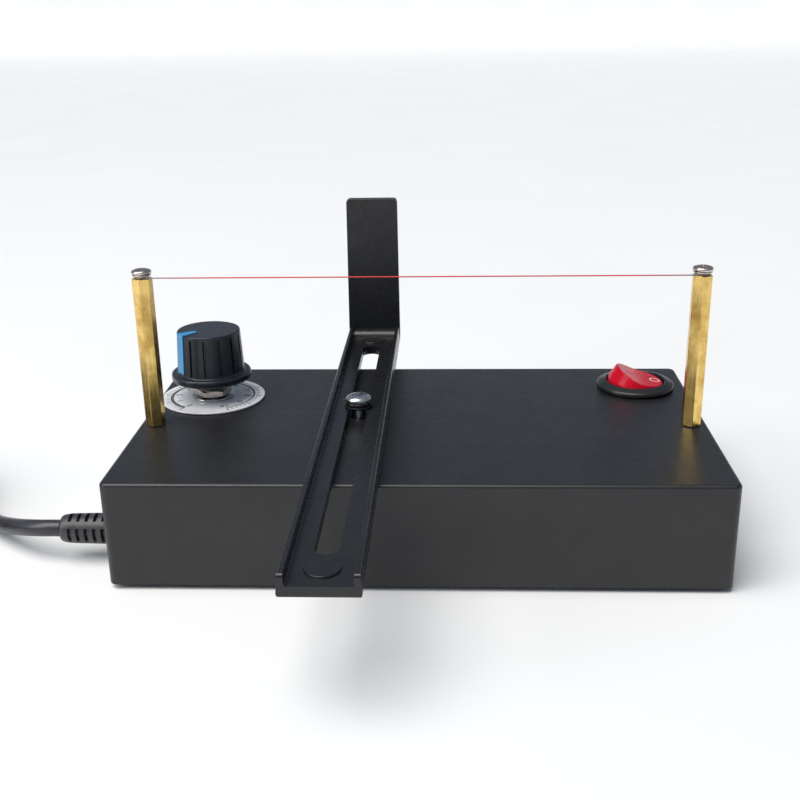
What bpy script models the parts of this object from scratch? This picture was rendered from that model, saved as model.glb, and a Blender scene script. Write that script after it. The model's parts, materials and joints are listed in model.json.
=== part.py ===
"""Bench hot wire cutter, built as an assembly of separate parts.

A low rectangular case carries two brass posts with a resistance wire stretched between them.
A channel-shaped stop lies across the case under the wire, clamped by one screw through its slot.

Frame: metres, +X along the wire to the right, +Y away from the user, +Z up. The origin lies on the
bench, under the middle of the object's box (the mains lead isn't counted).
"""

import math

import bmesh
import bpy
from mathutils import Euler, Matrix, Vector

# ---------------------------------------------------------------- driving dimensions (metres)
GAP = 0.0003            # between pieces that rest on each other
FIT = 0.00015           # between thin washers, nuts and the like

CASE_LENGTH = 0.164
CASE_DEPTH = 0.0934
CASE_HEIGHT = 0.0291
WALL = 0.0020
CASE_CORNER = 0.0022
CASE_EDGE = 0.0010
FOOT_RADIUS = 0.0050
FOOT_STANDOFF = 0.0015
FOOT_INSET = 0.0165
PLATE_RECESS = 0.0004
PLATE_THICK = 0.0018

POST_X = 0.0772
POST_Y = -0.0045        # from the case's middle
POST_HEIGHT = 0.0435
POST_FLATS = 0.0050
POST_TURN = {"left": math.radians(-7.5), "right": math.radians(-3.0)}
M3_RADIUS = 0.0015
WIRE_RADIUS = 0.0002
WIRE_LOOP_RADIUS = 0.0019
SCREW_HEAD_RADIUS = 0.0028
SCREW_HEAD_HEIGHT = 0.0014

STOP_WIDTH = 0.0181
STOP_TOP_WIDTH = 0.0174
STOP_HEIGHT = 0.0056
STOP_WEB = 0.0027
STOP_FLANGE = 0.0013
STOP_FRONT = 0.1054     # from the clamp screw to the front end
STOP_LEG = 0.0737       # from the clamp screw to the face of the leg
LEG_THICK = 0.0027
LEG_HEIGHT = 0.0511     # from the underside of the web
SLOT_WIDTH = 0.0057
SLOT_FRONT = 0.0916
SLOT_REAR = 0.0594
CLAMP_X = -0.01835
CLAMP_OFF_MIDDLE = 0.0022   # the clamp screw sits this far behind the case's middle
M4_RADIUS = 0.0020
CLAMP_HEAD_RADIUS = 0.0038
CLAMP_HEAD_HEIGHT = 0.0025
CLAMP_SHANK = 0.0115

KNOB_X = -0.0650
KNOB_Y = 0.0186         # from the case's middle
KNOB_TOP_RADIUS = 0.0095
KNOB_FOOT_RADIUS = 0.0102
KNOB_FLANGE_RADIUS = 0.0121
KNOB_TOP = 0.0220       # above the case
SHAFT_SEAT = 0.0184     # top of the knob's bore, above the case
KNOB_UNDERSIDE = 0.0067
KNOB_FLANGE_TOP = 0.0091
FLUTES = 14
POINTER_TURN = math.radians(-139.0)
POINTER_WIDTH = 0.0032
DIAL_RADIUS = 0.0159
DIAL_THICK = 0.0005

SWITCH_X = 0.0664
SWITCH_Y = 0.0277       # from the case's middle
BEZEL_RADIUS = 0.01185
BEZEL_HEIGHT = 0.0026   # at the opening
BEZEL_RIM = 0.0017      # at its outer edge
ROCKER_RADIUS = 0.0086
ROCKER_PIVOT = 0.0012   # above the case
ROCKER_TILT = math.radians(20.0)
ROCKER_MIDDLE = 0.0022  # lowest part of its top, above the pivot
ROCKER_RISE = 0.20      # slope from there up to both ends
ROCKER_FLAT = -0.0050   # its flat underside

RELIEF_Y = -0.0301      # from the case's middle
RELIEF_Z = 0.0082       # above the case's lower edge
CORD_RADIUS = 0.00235

# ---------------------------------------------------------------- places worked out from them
CLAMP_Y = (STOP_FRONT - STOP_LEG - LEG_THICK) / 2
CASE_Y = CLAMP_Y - CLAMP_OFF_MIDDLE
BASE = FOOT_STANDOFF
TOP = BASE + CASE_HEIGHT
CEILING = TOP - WALL                        # inside face of the top panel
PLATE_BOTTOM = BASE + PLATE_RECESS
PLATE_TOP = PLATE_BOTTOM + PLATE_THICK
POST_TOP = TOP + GAP + POST_HEIGHT
WIRE_Z = POST_TOP + FIT + WIRE_RADIUS
WEB_BOTTOM = TOP + GAP
WEB_TOP = WEB_BOTTOM + STOP_WEB
SWITCH_PLACE = Vector((SWITCH_X, CASE_Y + SWITCH_Y, TOP))
KNOB_PLACE = Vector((KNOB_X, CASE_Y + KNOB_Y, TOP))
RELIEF_PLACE = Vector((-CASE_LENGTH / 2, CASE_Y + RELIEF_Y, BASE + RELIEF_Z))

# colour, roughness, metallic
FINISHES = {
    "black_case": ((0.018, 0.018, 0.020), 0.38, 0.0),
    "black_stop": ((0.015, 0.015, 0.018), 0.30, 0.0),
    "black_switch": ((0.012, 0.012, 0.013), 0.35, 0.0),
    "black_knob": ((0.014, 0.015, 0.018), 0.45, 0.0),
    "blue_pointer": ((0.03, 0.30, 0.72), 0.40, 0.0),
    "red_rocker": ((0.75, 0.012, 0.03), 0.22, 0.0),
    "brass": ((0.78, 0.52, 0.17), 0.28, 1.0),
    "nickel": ((0.66, 0.60, 0.55), 0.30, 1.0),
    "zinc": ((0.60, 0.62, 0.60), 0.32, 1.0),
    "dark_steel": ((0.05, 0.05, 0.055), 0.45, 1.0),
    "hot_wire": ((0.75, 0.10, 0.12), 0.40, 0.6),
    "dial_silver": ((0.70, 0.70, 0.72), 0.30, 0.4),
    "rubber": ((0.035, 0.035, 0.038), 0.55, 0.0),
    "cord": ((0.045, 0.045, 0.050), 0.35, 0.0),
    "green_board": ((0.02, 0.16, 0.07), 0.45, 0.0),
    "ferrite": ((0.07, 0.07, 0.07), 0.70, 0.0),
    "copper": ((0.72, 0.33, 0.16), 0.35, 1.0),
    "sleeve_blue": ((0.02, 0.05, 0.25), 0.40, 0.0),
    "glass_tube": ((0.80, 0.85, 0.85), 0.10, 0.0),
    "heat_sink": ((0.70, 0.71, 0.72), 0.40, 1.0),
    "terminal_green": ((0.03, 0.35, 0.10), 0.45, 0.0),
    "lead_red": ((0.60, 0.03, 0.03), 0.40, 0.0),
    "lead_brown": ((0.20, 0.08, 0.03), 0.40, 0.0),
}


# ---------------------------------------------------------------- tools
def start_clean():
    for item in list(bpy.data.objects):
        bpy.data.objects.remove(item, do_unlink=True)


def new_collection(name):
    collection = bpy.data.collections.new(name)
    bpy.context.scene.collection.children.link(collection)
    return collection


start_clean()
PARTS = new_collection("hot_wire_cutter")
CUTTERS = new_collection("cutters")


def paint(obj, finish):
    colour, roughness, metallic = FINISHES[finish]
    material = bpy.data.materials.new(obj.name + "_" + finish)
    material.use_nodes = True
    shader = material.node_tree.nodes["Principled BSDF"]
    shader.inputs["Base Color"].default_value = (*colour, 1.0)
    shader.inputs["Roughness"].default_value = roughness
    shader.inputs["Metallic"].default_value = metallic
    obj.data.materials.clear()
    obj.data.materials.append(material)


def register(obj, finish):
    """Put an object with the parts, or with the cutters if it has no finish."""
    if finish is None:
        CUTTERS.objects.link(obj)
        obj.hide_render = True
        obj.display_type = "WIRE"
    else:
        PARTS.objects.link(obj)
        paint(obj, finish)
    return obj


def from_bmesh(name, bm, finish, place=(0, 0, 0), turn=(0, 0, 0)):
    mesh = bpy.data.meshes.new(name)
    bmesh.ops.recalc_face_normals(bm, faces=bm.faces)
    bm.to_mesh(mesh)
    bm.free()
    obj = bpy.data.objects.new(name, mesh)
    obj.location = place
    obj.rotation_euler = turn
    return register(obj, finish)


def smooth(obj):
    obj.data.shade_smooth()
    obj.data.set_sharp_from_angle(angle=math.radians(35))
    return obj


def block(name, size, place, finish=None, rounding=0.0, turn=(0, 0, 0)):
    """A box of the given size, centred on its place, with all its edges rounded."""
    bm = bmesh.new()
    bmesh.ops.create_cube(bm, size=1.0)
    bmesh.ops.scale(bm, vec=size, verts=bm.verts)
    if rounding:
        bmesh.ops.bevel(bm, geom=bm.edges[:], offset=rounding, segments=1,
                        profile=0.5, affect="EDGES", clamp_overlap=True)
    return from_bmesh(name, bm, finish, place, turn)


def rod(name, radius, length, place, finish=None, sides=16, turn=(0, 0, 0)):
    """A cylinder along its own Z, centred on its place."""
    bm = bmesh.new()
    bmesh.ops.create_cone(bm, cap_ends=True, segments=sides, radius1=radius,
                          radius2=radius, depth=length)
    obj = from_bmesh(name, bm, finish, place, turn)
    return smooth(obj) if sides > 8 else obj


def turned(name, profile, place, finish=None, steps=24, ring=False, turn=(0, 0, 0)):
    """Turn a profile of (radius, height) points, running down the outer side, about Z."""
    mesh = bpy.data.meshes.new(name)
    edges = [(i, i + 1) for i in range(len(profile) - 1)]
    if ring:
        edges.append((len(profile) - 1, 0))
    mesh.from_pydata([(radius, 0, height) for radius, height in profile], edges, [])
    obj = bpy.data.objects.new(name, mesh)
    obj.location = place
    obj.rotation_euler = turn
    screw = obj.modifiers.new("turn", "SCREW")
    screw.angle = 2 * math.pi
    screw.steps = steps
    screw.render_steps = steps
    screw.use_merge_vertices = True
    screw.merge_threshold = 0.00001
    return register(obj, finish)


def ring_profile(inner, outer, low, high):
    """A washer's closed profile."""
    return [(inner, high), (outer, high), (outer, low), (inner, low)]


def mesh_from_curve(curve_obj, finish):
    """Turn a curve into a closed mesh object of the same name and place."""
    PARTS.objects.link(curve_obj)
    bpy.context.view_layer.update()
    graph = bpy.context.evaluated_depsgraph_get()
    mesh = bpy.data.meshes.new_from_object(curve_obj.evaluated_get(graph))
    name = curve_obj.name
    matrix = curve_obj.matrix_world.copy()
    bpy.data.objects.remove(curve_obj, do_unlink=True)
    bm = bmesh.new()
    bm.from_mesh(mesh)
    bmesh.ops.remove_doubles(bm, verts=bm.verts, dist=0.000001)
    bmesh.ops.recalc_face_normals(bm, faces=bm.faces)
    bm.to_mesh(mesh)
    bm.free()
    obj = bpy.data.objects.new(name, mesh)
    obj.matrix_world = matrix
    return register(obj, finish)


def prism(name, outline, thickness, matrix, finish=None):
    """A flat outline of (x, y) points, given a thickness that is centred on its plane."""
    curve = bpy.data.curves.new(name, "CURVE")
    curve.dimensions = "2D"
    curve.fill_mode = "BOTH"
    curve.extrude = thickness / 2
    spline = curve.splines.new("POLY")
    spline.points.add(len(outline) - 1)
    for point, (x, y) in zip(spline.points, outline):
        point.co = (x, y, 0, 1)
    spline.use_cyclic_u = True
    obj = bpy.data.objects.new(name, curve)
    obj.matrix_world = matrix
    return mesh_from_curve(obj, finish)


def tube(name, points, radius, finish, resolution=2):
    """A round wire or cord along a list of points, with its ends filled."""
    curve = bpy.data.curves.new(name, "CURVE")
    curve.dimensions = "3D"
    curve.bevel_depth = radius
    curve.bevel_resolution = resolution
    curve.use_fill_caps = True
    spline = curve.splines.new("POLY")
    spline.points.add(len(points) - 1)
    for point, place in zip(spline.points, points):
        point.co = (*place, 1)
    obj = bpy.data.objects.new(name, curve)
    return mesh_from_curve(obj, finish)


def boolean(obj, other, operation="DIFFERENCE"):
    step = obj.modifiers.new(operation.lower(), "BOOLEAN")
    step.operation = operation
    step.solver = "EXACT"
    step.object = other
    return obj


def smooth_route(route, spacing):
    """Points a set distance apart on a smooth curve through the route's own points."""
    knots = [Vector(point) for point in route]
    ends = [2 * knots[0] - knots[1]] + knots + [2 * knots[-1] - knots[-2]]
    fine = []
    for before, start, end, after in zip(ends, ends[1:], ends[2:], ends[3:]):
        for step in range(20):
            t = step / 20
            fine.append(0.5 * (2 * start + (end - before) * t
                               + (2 * before - 5 * start + 4 * end - after) * t * t
                               + (3 * start - before - 3 * end + after) * t ** 3))
    fine.append(knots[-1])
    length = sum((b - a).length for a, b in zip(fine, fine[1:]))
    count = max(2, round(length / spacing))
    points = [fine[0]]
    walked = 0.0
    for a, b in zip(fine, fine[1:]):
        walked += (b - a).length
        if walked >= len(points) * length / count - 1e-9 and len(points) < count:
            points.append(b)
    points.append(fine[-1])
    return points


def stadium(width, front, rear, steps=6):
    """The outline of a slot along Y with round ends, from -front to rear."""
    radius = width / 2
    points = []
    for step in range(steps + 1):
        angle = math.pi * step / steps
        points.append((radius * math.cos(angle), rear - radius + radius * math.sin(angle)))
    for step in range(steps + 1):
        angle = math.pi + math.pi * step / steps
        points.append((radius * math.cos(angle), -front + radius + radius * math.sin(angle)))
    return points


def cross_recess(name, place, reach, width, depth, turn=0.0):
    """A cross-shaped cutter for a screw head, as two bars joined."""
    middle = Vector(place)
    first = block(name + "_a", (2 * reach, width, depth), middle, turn=(0, 0, turn))
    second = block(name + "_b", (width, 2 * reach * 0.98, depth * 1.02), middle,
                   turn=(0, 0, turn))
    return boolean(first, second, "UNION")


def pan_screw(name, place, head_radius, head_height, shank_radius, shank, finish, turn=0.0,
              steps=18):
    """A cross-recess pan-head screw: place is the underside of its head."""
    high = head_height
    profile = [(0.0, high), (head_radius * 0.45, high * 0.97), (head_radius * 0.80, high * 0.80),
               (head_radius * 0.97, high * 0.48), (head_radius, high * 0.2), (head_radius, 0.0),
               (shank_radius, 0.0), (shank_radius, -shank + 0.0003),
               (shank_radius - 0.0003, -shank), (0.0, -shank)]
    screw = turned(name, profile, place, finish, steps)
    recess = cross_recess(name + "_recess", Vector(place) + Vector((0, 0, high)),
                          head_radius * 0.52, head_radius * 0.24, high * 0.9, turn)
    return boolean(screw, recess)


# ---------------------------------------------------------------- case
def case_shell():
    """Top panel and four walls in one moulding, open underneath, with screw bosses inside."""
    bm = bmesh.new()
    bmesh.ops.create_cube(bm, size=1.0)
    bmesh.ops.scale(bm, vec=(CASE_LENGTH, CASE_DEPTH, CASE_HEIGHT), verts=bm.verts)
    upright = [e for e in bm.edges if abs(e.verts[0].co.z - e.verts[1].co.z) > CASE_HEIGHT / 2]
    bmesh.ops.bevel(bm, geom=upright, offset=CASE_CORNER, segments=3, profile=0.5, affect="EDGES")
    rim = [e for e in bm.edges if min(v.co.z for v in e.verts) > CASE_HEIGHT / 2 - 1e-5]
    bmesh.ops.bevel(bm, geom=rim, offset=CASE_EDGE, segments=2, profile=0.5, affect="EDGES")
    floor = [f for f in bm.faces if all(v.co.z < -CASE_HEIGHT / 2 + 1e-5 for v in f.verts)]
    bmesh.ops.delete(bm, geom=floor, context="FACES")
    shell = from_bmesh("case_shell", bm, "black_case", (0, CASE_Y, BASE + CASE_HEIGHT / 2))
    wall = shell.modifiers.new("wall", "SOLIDIFY")
    wall.thickness = WALL
    wall.offset = -1.0
    wall.use_even_offset = True
    for index, (x, y) in enumerate(bottom_screw_places()):
        low = PLATE_TOP + GAP
        boss = rod(f"boss_{index + 1}", 0.0034, CEILING + 0.0005 - low,
                   (x, y, (CEILING + 0.0005 + low) / 2), sides=12)
        boolean(shell, boss, "UNION")
        pilot = rod(f"pilot_{index + 1}", 0.0016, 0.010, (x, y, low + 0.0045), sides=10)
        boolean(shell, pilot)
    holes = [("post_hole_left", -POST_X, POST_Y, 0.0018, 12),
             ("post_hole_right", POST_X, POST_Y, 0.0018, 12),
             ("clamp_hole", CLAMP_X, CLAMP_OFF_MIDDLE, 0.0023, 14),
             ("knob_hole", KNOB_X, KNOB_Y, 0.0039, 16),
             ("switch_hole", SWITCH_X, SWITCH_Y, 0.0101, 32)]
    for name, x, y, radius, sides in holes:
        boolean(shell, rod(name, radius, 4 * WALL, (x, CASE_Y + y, TOP - WALL / 2), sides=sides))
    boolean(shell, rod("relief_hole", 0.0035, 4 * WALL, RELIEF_PLACE, sides=18,
                       turn=(0, math.pi / 2, 0)))
    return shell


def bottom_screw_places():
    inset = 0.0070
    return [(sx * (CASE_LENGTH / 2 - inset), CASE_Y + sy * (CASE_DEPTH / 2 - inset))
            for sx in (-1, 1) for sy in (-1, 1)]


BOARD_SIZE = (0.090, 0.050, 0.0016)
BOARD_PLACE = Vector((-0.0120, CASE_Y - 0.0060, PLATE_TOP + 0.0050))
BOARD_SCREWS = [(-0.0400, -0.0200), (0.0400, 0.0200)]


def bottom_plate():
    """Inset plate with two standoffs for the circuit board."""
    inset = WALL + GAP
    plate = block("bottom_plate", (CASE_LENGTH - 2 * inset, CASE_DEPTH - 2 * inset, PLATE_THICK),
                  (0, CASE_Y, PLATE_BOTTOM + PLATE_THICK / 2), "black_case", 0.0004)
    board_low = BOARD_PLACE.z - BOARD_SIZE[2] / 2
    for index, (x, y) in enumerate(BOARD_SCREWS):
        place = BOARD_PLACE + Vector((x, y, 0))
        high = board_low - GAP
        post = rod(f"standoff_{index + 1}", 0.0030, high - PLATE_TOP + 0.0005,
                   (place.x, place.y, (high + PLATE_TOP - 0.0005) / 2), sides=12)
        boolean(plate, post, "UNION")
        boolean(plate, rod(f"standoff_bore_{index + 1}", 0.0014, 0.0056,
                           (place.x, place.y, high - 0.0018), sides=10))
    for index, (x, y) in enumerate(bottom_screw_places()):
        boolean(plate, rod(f"plate_hole_{index + 1}", 0.0017, 4 * PLATE_THICK,
                           (x, y, PLATE_BOTTOM), sides=12))
        boolean(plate, rod(f"plate_sink_{index + 1}", 0.0031, 0.0016,
                           (x, y, PLATE_BOTTOM), sides=12))
    return plate


def bottom_screws():
    for index, (x, y) in enumerate(bottom_screw_places()):
        place = (x, y, PLATE_BOTTOM + 0.0008 - FIT)
        pan_screw_down(f"bottom_screw_{index + 1}", place, 0.0027, 0.0009, 0.0013, 0.0080)


def pan_screw_down(name, place, head_radius, head_height, shank_radius, shank):
    """A small screw driven from below: its head's underside faces up at place."""
    profile = [(0.0, shank), (shank_radius - 0.0003, shank), (shank_radius, shank - 0.0004),
               (shank_radius, 0.0), (head_radius, 0.0), (head_radius, -head_height * 0.6),
               (head_radius * 0.8, -head_height), (0.0, -head_height)]
    screw = turned(name, profile, place, "zinc", steps=12)
    recess = cross_recess(name + "_recess", Vector(place) - Vector((0, 0, head_height)),
                          head_radius * 0.5, head_radius * 0.26, head_height)
    return boolean(screw, recess)


def feet():
    for index, (sx, sy) in enumerate([(-1, -1), (-1, 1), (1, -1), (1, 1)]):
        x = sx * (CASE_LENGTH / 2 - FOOT_INSET)
        y = CASE_Y + sy * (CASE_DEPTH / 2 - FOOT_INSET)
        high = PLATE_BOTTOM - FIT
        profile = [(0.0, high), (FOOT_RADIUS, high), (FOOT_RADIUS, 0.0006),
                   (FOOT_RADIUS - 0.0006, 0.0), (0.0, 0.0)]
        turned(f"foot_{index + 1}", profile, (x, y, 0), "rubber", steps=16)


# ---------------------------------------------------------------- posts and cutting wire
def posts():
    """Brass hexagon posts with a tapped hole at each end, and the hardware that holds them."""
    for side, sign in (("left", -1), ("right", 1)):
        x = sign * POST_X
        y = CASE_Y + POST_Y
        low = TOP + GAP
        post = rod(f"{side}_post", POST_FLATS / math.sqrt(3), POST_HEIGHT,
                   (x, y, low + POST_HEIGHT / 2), "brass", sides=6, turn=(0, 0, POST_TURN[side]))
        for end, z in (("top", POST_TOP), ("foot", low)):
            boolean(post, rod(f"{side}_post_{end}_bore", M3_RADIUS + 0.0002, 0.0180, (x, y, z),
                              sides=12))
        lug_low = CEILING - FIT - 0.0006
        turned(f"{side}_ring_terminal", ring_profile(M3_RADIUS + 0.0003, 0.0025, 0, 0.0006),
               (x, y, lug_low), "zinc", steps=16, ring=True)
        shank = low + 0.0070 - lug_low + FIT
        pan_screw_down(f"{side}_post_screw", (x, y, lug_low - FIT), 0.0024, 0.0018, M3_RADIUS,
                       shank)
        washer_low = WIRE_Z + WIRE_RADIUS + FIT
        turned(f"{side}_wire_washer", ring_profile(M3_RADIUS + 0.0002, 0.0026, 0, 0.0004),
               (x, y, washer_low), "nickel", steps=16, ring=True)
        pan_screw(f"{side}_wire_screw", (x, y, washer_low + 0.0004 + FIT), SCREW_HEAD_RADIUS,
                  SCREW_HEAD_HEIGHT, M3_RADIUS, 0.0075, "nickel",
                  turn=math.radians(20 if side == "left" else 5))


def cutting_wire():
    """Resistance wire pulled tight, hooked round the shank of each terminal screw."""
    y = CASE_Y + POST_Y
    points = []
    for sign in (-1, 1):
        loop = []
        for step in range(9):
            angle = math.radians(-90 + sign * 30 * (8 - step))
            loop.append((sign * POST_X + WIRE_LOOP_RADIUS * math.cos(angle),
                         y + WIRE_LOOP_RADIUS * math.sin(angle), WIRE_Z))
        points += loop if sign < 0 else loop[::-1]
    return tube("cutting_wire", points, WIRE_RADIUS, "hot_wire", resolution=1)


# ---------------------------------------------------------------- stop and clamp
def stop_bracket():
    """U-channel with a long slot and an upturned leg, moulded in one piece."""
    half = STOP_WIDTH / 2
    top = STOP_TOP_WIDTH / 2
    section = [(-half + 0.0009, 0), (half - 0.0009, 0), (half, 0.0009),
               (top, STOP_HEIGHT - 0.0004), (top - 0.0004, STOP_HEIGHT),
               (top - STOP_FLANGE, STOP_HEIGHT), (top - STOP_FLANGE - 0.0002, STOP_WEB + 0.0006),
               (top - STOP_FLANGE - 0.0008, STOP_WEB)]
    section += [(-x, z) for x, z in reversed(section[2:])]
    length = STOP_FRONT + STOP_LEG + LEG_THICK
    middle_y = CLAMP_Y + (STOP_LEG + LEG_THICK - STOP_FRONT) / 2
    along_y = Matrix.Translation((CLAMP_X, middle_y, WEB_BOTTOM)) @ Matrix.Rotation(
        math.pi / 2, 4, "X")
    bracket = prism("stop_bracket", section, length, along_y, "black_stop")

    corner = 0.0020
    leg_outline = [(-half, 0.0010), (half, 0.0010), (half, LEG_HEIGHT - corner)]
    leg_outline += [(half - corner + corner * math.cos(a), LEG_HEIGHT - corner
                     + corner * math.sin(a)) for a in (math.pi / 6, math.pi / 3, math.pi / 2)]
    leg_outline += [(-x, z) for x, z in reversed(leg_outline[2:])]
    leg_y = CLAMP_Y + STOP_LEG + LEG_THICK / 2
    leg = prism("stop_leg", leg_outline, LEG_THICK, Matrix.Translation(
        (CLAMP_X, leg_y, WEB_BOTTOM)) @ Matrix.Rotation(math.pi / 2, 4, "X"))
    boolean(bracket, leg, "UNION")

    fillet = 0.0026
    root = 0.0004
    curve = [(-root, -root), (fillet, -root)]
    curve += [(fillet - fillet * math.sin(a), fillet - fillet * math.cos(a))
              for a in [math.pi / 12 * step for step in range(0, 7)]]
    curve.append((-root, fillet))
    across_x = Matrix.Translation((CLAMP_X, CLAMP_Y + STOP_LEG, WEB_TOP)) @ Matrix.Rotation(
        math.pi / 2, 4, "Z") @ Matrix.Rotation(math.pi / 2, 4, "X")
    mirrored = [(-x, z) for x, z in reversed(curve)]
    web_fillet = prism("stop_fillet", mirrored, 2 * (top - STOP_FLANGE), across_x)
    boolean(bracket, web_fillet, "UNION")

    slot = prism("stop_slot", stadium(SLOT_WIDTH, SLOT_FRONT, SLOT_REAR), 4 * STOP_WEB,
                 Matrix.Translation((CLAMP_X, CLAMP_Y, WEB_BOTTOM + STOP_WEB / 2)))
    boolean(bracket, slot)
    for name, reach in (("front", -STOP_FRONT + 0.0075), ("rear", STOP_LEG - 0.0075)):
        pad = rod(f"stop_pad_{name}", 0.0040, 0.0012, (CLAMP_X, CLAMP_Y + reach, WEB_TOP - 0.0002),
                  sides=20)
        boolean(bracket, pad, "UNION")
    return bracket


def clamp_hardware():
    flat_low = WEB_TOP + FIT
    flat_high = flat_low + 0.0006
    turned("clamp_washer", ring_profile(M4_RADIUS + 0.0003, 0.0040, 0, 0.0006),
           (CLAMP_X, CLAMP_Y, flat_low), "dark_steel", steps=20, ring=True)
    lock_low = flat_high + FIT
    turned("clamp_lock_washer", ring_profile(M4_RADIUS + 0.0002, 0.0036, 0, 0.0005),
           (CLAMP_X, CLAMP_Y, lock_low), "dark_steel", steps=20, ring=True)
    head_low = lock_low + 0.0005 + FIT
    pan_screw("clamp_screw", (CLAMP_X, CLAMP_Y, head_low), CLAMP_HEAD_RADIUS, CLAMP_HEAD_HEIGHT,
              M4_RADIUS, CLAMP_SHANK, "zinc", turn=math.radians(12))
    nut_high = CEILING - FIT
    nut = rod("clamp_nut", 0.0070 / math.sqrt(3), 0.0032, (CLAMP_X, CLAMP_Y, nut_high - 0.0016),
              "zinc", sides=6)
    boolean(nut, rod("clamp_nut_bore", M4_RADIUS + 0.0002, 0.0080,
                     (CLAMP_X, CLAMP_Y, nut_high - 0.0016), sides=16))


# ---------------------------------------------------------------- dial, potentiometer and knob
NUT_LOW = FIT + DIAL_THICK + FIT + 0.0005 + FIT
NUT_HIGH = NUT_LOW + 0.0022
BUSHING_TOP = 0.0058


def dial_plate():
    turned("dial_plate", ring_profile(0.0041, DIAL_RADIUS, FIT, FIT + DIAL_THICK),
           KNOB_PLACE, "dial_silver", steps=40, ring=True)


def potentiometer():
    """Round body under the panel, with a bushing through it, a nut, a washer and a shaft."""
    body_high = -WALL - FIT
    body_low = body_high - 0.0085
    bore = 0.0022
    profile = [(bore, BUSHING_TOP), (0.0036, BUSHING_TOP), (0.0036, body_high),
               (0.0078, body_high), (0.0082, body_high - 0.0004), (0.0082, body_low + 0.0004),
               (0.0078, body_low), (bore, body_low)]
    body = turned("potentiometer_body", profile, KNOB_PLACE, "zinc", steps=20, ring=True)
    for index in range(3):
        lug = block(f"potentiometer_lug_{index + 1}", (0.0014, 0.0060, 0.0006),
                    KNOB_PLACE + Vector((0.0045 * (index - 1), -0.0095, body_high - 0.0040)))
        boolean(body, lug, "UNION")
    washer_low = FIT + DIAL_THICK + FIT
    turned("potentiometer_washer", ring_profile(0.0038, 0.0064, washer_low, washer_low + 0.0005),
           KNOB_PLACE, "zinc", steps=20, ring=True)
    nut = rod("potentiometer_nut", 0.0100 / math.sqrt(3), 0.0022,
              KNOB_PLACE + Vector((0, 0, (NUT_LOW + NUT_HIGH) / 2)), "nickel", sides=6,
              turn=(0, 0, math.radians(42)))
    boolean(nut, rod("potentiometer_nut_bore", 0.0038, 0.0060,
                     KNOB_PLACE + Vector((0, 0, 0.0025)), sides=20))
    shaft = [(0.0, 0.0180), (0.0026, 0.0180), (0.0030, 0.0176), (0.0030, BUSHING_TOP + GAP),
             (0.0019, BUSHING_TOP + GAP), (0.0019, body_low + 0.0005), (0.0, body_low + 0.0005)]
    turned("potentiometer_shaft", shaft, KNOB_PLACE, "zinc", steps=16)


def control_knob():
    """Tapered knob with thin flutes and a flange, and a blue pointer let into it."""
    profile = [(0.0, KNOB_TOP), (KNOB_TOP_RADIUS - 0.0004, KNOB_TOP),
               (KNOB_TOP_RADIUS, KNOB_TOP - 0.0004), (KNOB_FOOT_RADIUS, KNOB_FLANGE_TOP),
               (KNOB_FLANGE_RADIUS - 0.0006, KNOB_FLANGE_TOP - 0.0001),
               (KNOB_FLANGE_RADIUS, KNOB_FLANGE_TOP - 0.0006),
               (KNOB_FLANGE_RADIUS - 0.0001, KNOB_UNDERSIDE), (0.0034, KNOB_UNDERSIDE),
               (0.0034, SHAFT_SEAT), (0.0, SHAFT_SEAT)]
    knob = turned("control_knob", profile, KNOB_PLACE, "black_knob", steps=42)
    side_height = KNOB_TOP - KNOB_FLANGE_TOP
    lean = math.atan2(KNOB_FOOT_RADIUS - KNOB_TOP_RADIUS, side_height)
    middle_radius = (KNOB_FOOT_RADIUS + KNOB_TOP_RADIUS) / 2
    for index in range(1, FLUTES):
        angle = POINTER_TURN + 2 * math.pi * index / FLUTES
        middle = Vector((middle_radius * math.cos(angle), middle_radius * math.sin(angle),
                         KNOB_FLANGE_TOP + 0.0006 + side_height / 2))
        flute = block(f"flute_{index}", (0.0012, 0.0010, side_height), KNOB_PLACE + middle,
                      turn=Euler((0, -lean, angle)))
        boolean(knob, flute)

    def pointer_outline(grow):
        return [(0.0041 - grow, KNOB_TOP + 0.0002 + grow),
                (KNOB_TOP_RADIUS + 0.0002 + grow, KNOB_TOP + 0.0002 + grow),
                (KNOB_FOOT_RADIUS + 0.0001 + grow, KNOB_FLANGE_TOP + 0.0008 - grow),
                (KNOB_FOOT_RADIUS - 0.0008 - grow, KNOB_FLANGE_TOP + 0.0008 - grow),
                (KNOB_TOP_RADIUS - 0.0008 - grow, KNOB_TOP - 0.0008 - grow),
                (0.0041 - grow, KNOB_TOP - 0.0008 - grow)]

    upright = Matrix.Translation(KNOB_PLACE) @ Matrix.Rotation(POINTER_TURN, 4, "Z") \
        @ Matrix.Rotation(math.pi / 2, 4, "X")
    groove = prism("pointer_groove", pointer_outline(FIT), POINTER_WIDTH + 2 * FIT, upright)
    boolean(knob, groove)
    prism("knob_pointer", pointer_outline(0.0), POINTER_WIDTH, upright, "blue_pointer")


# ---------------------------------------------------------------- rocker switch
def rocker_switch():
    """Round bezel and body, a red rocker that tips about Y, and two blade terminals."""
    pivot = SWITCH_PLACE + Vector((0, 0, ROCKER_PIVOT))
    opening = ROCKER_RADIUS + 0.0003
    body_low = -0.0150
    profile = [(opening, BEZEL_HEIGHT - 0.0001), (opening + 0.0006, BEZEL_HEIGHT),
               (BEZEL_RADIUS - 0.0005, BEZEL_RIM), (BEZEL_RADIUS, BEZEL_RIM - 0.0005),
               (BEZEL_RADIUS, GAP), (0.0098, GAP), (0.0098, body_low),
               (0.0, body_low), (0.0, -0.0088), (opening, -0.0088)]
    body = turned("switch_body", profile, SWITCH_PLACE, "black_switch", steps=32, ring=True)
    boolean(body, rod("pivot_bore", 0.0013, 0.030, pivot + Vector((0, 0, -0.0034)), sides=12,
                      turn=(math.pi / 2, 0, 0)))
    return pivot, body_low


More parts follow.
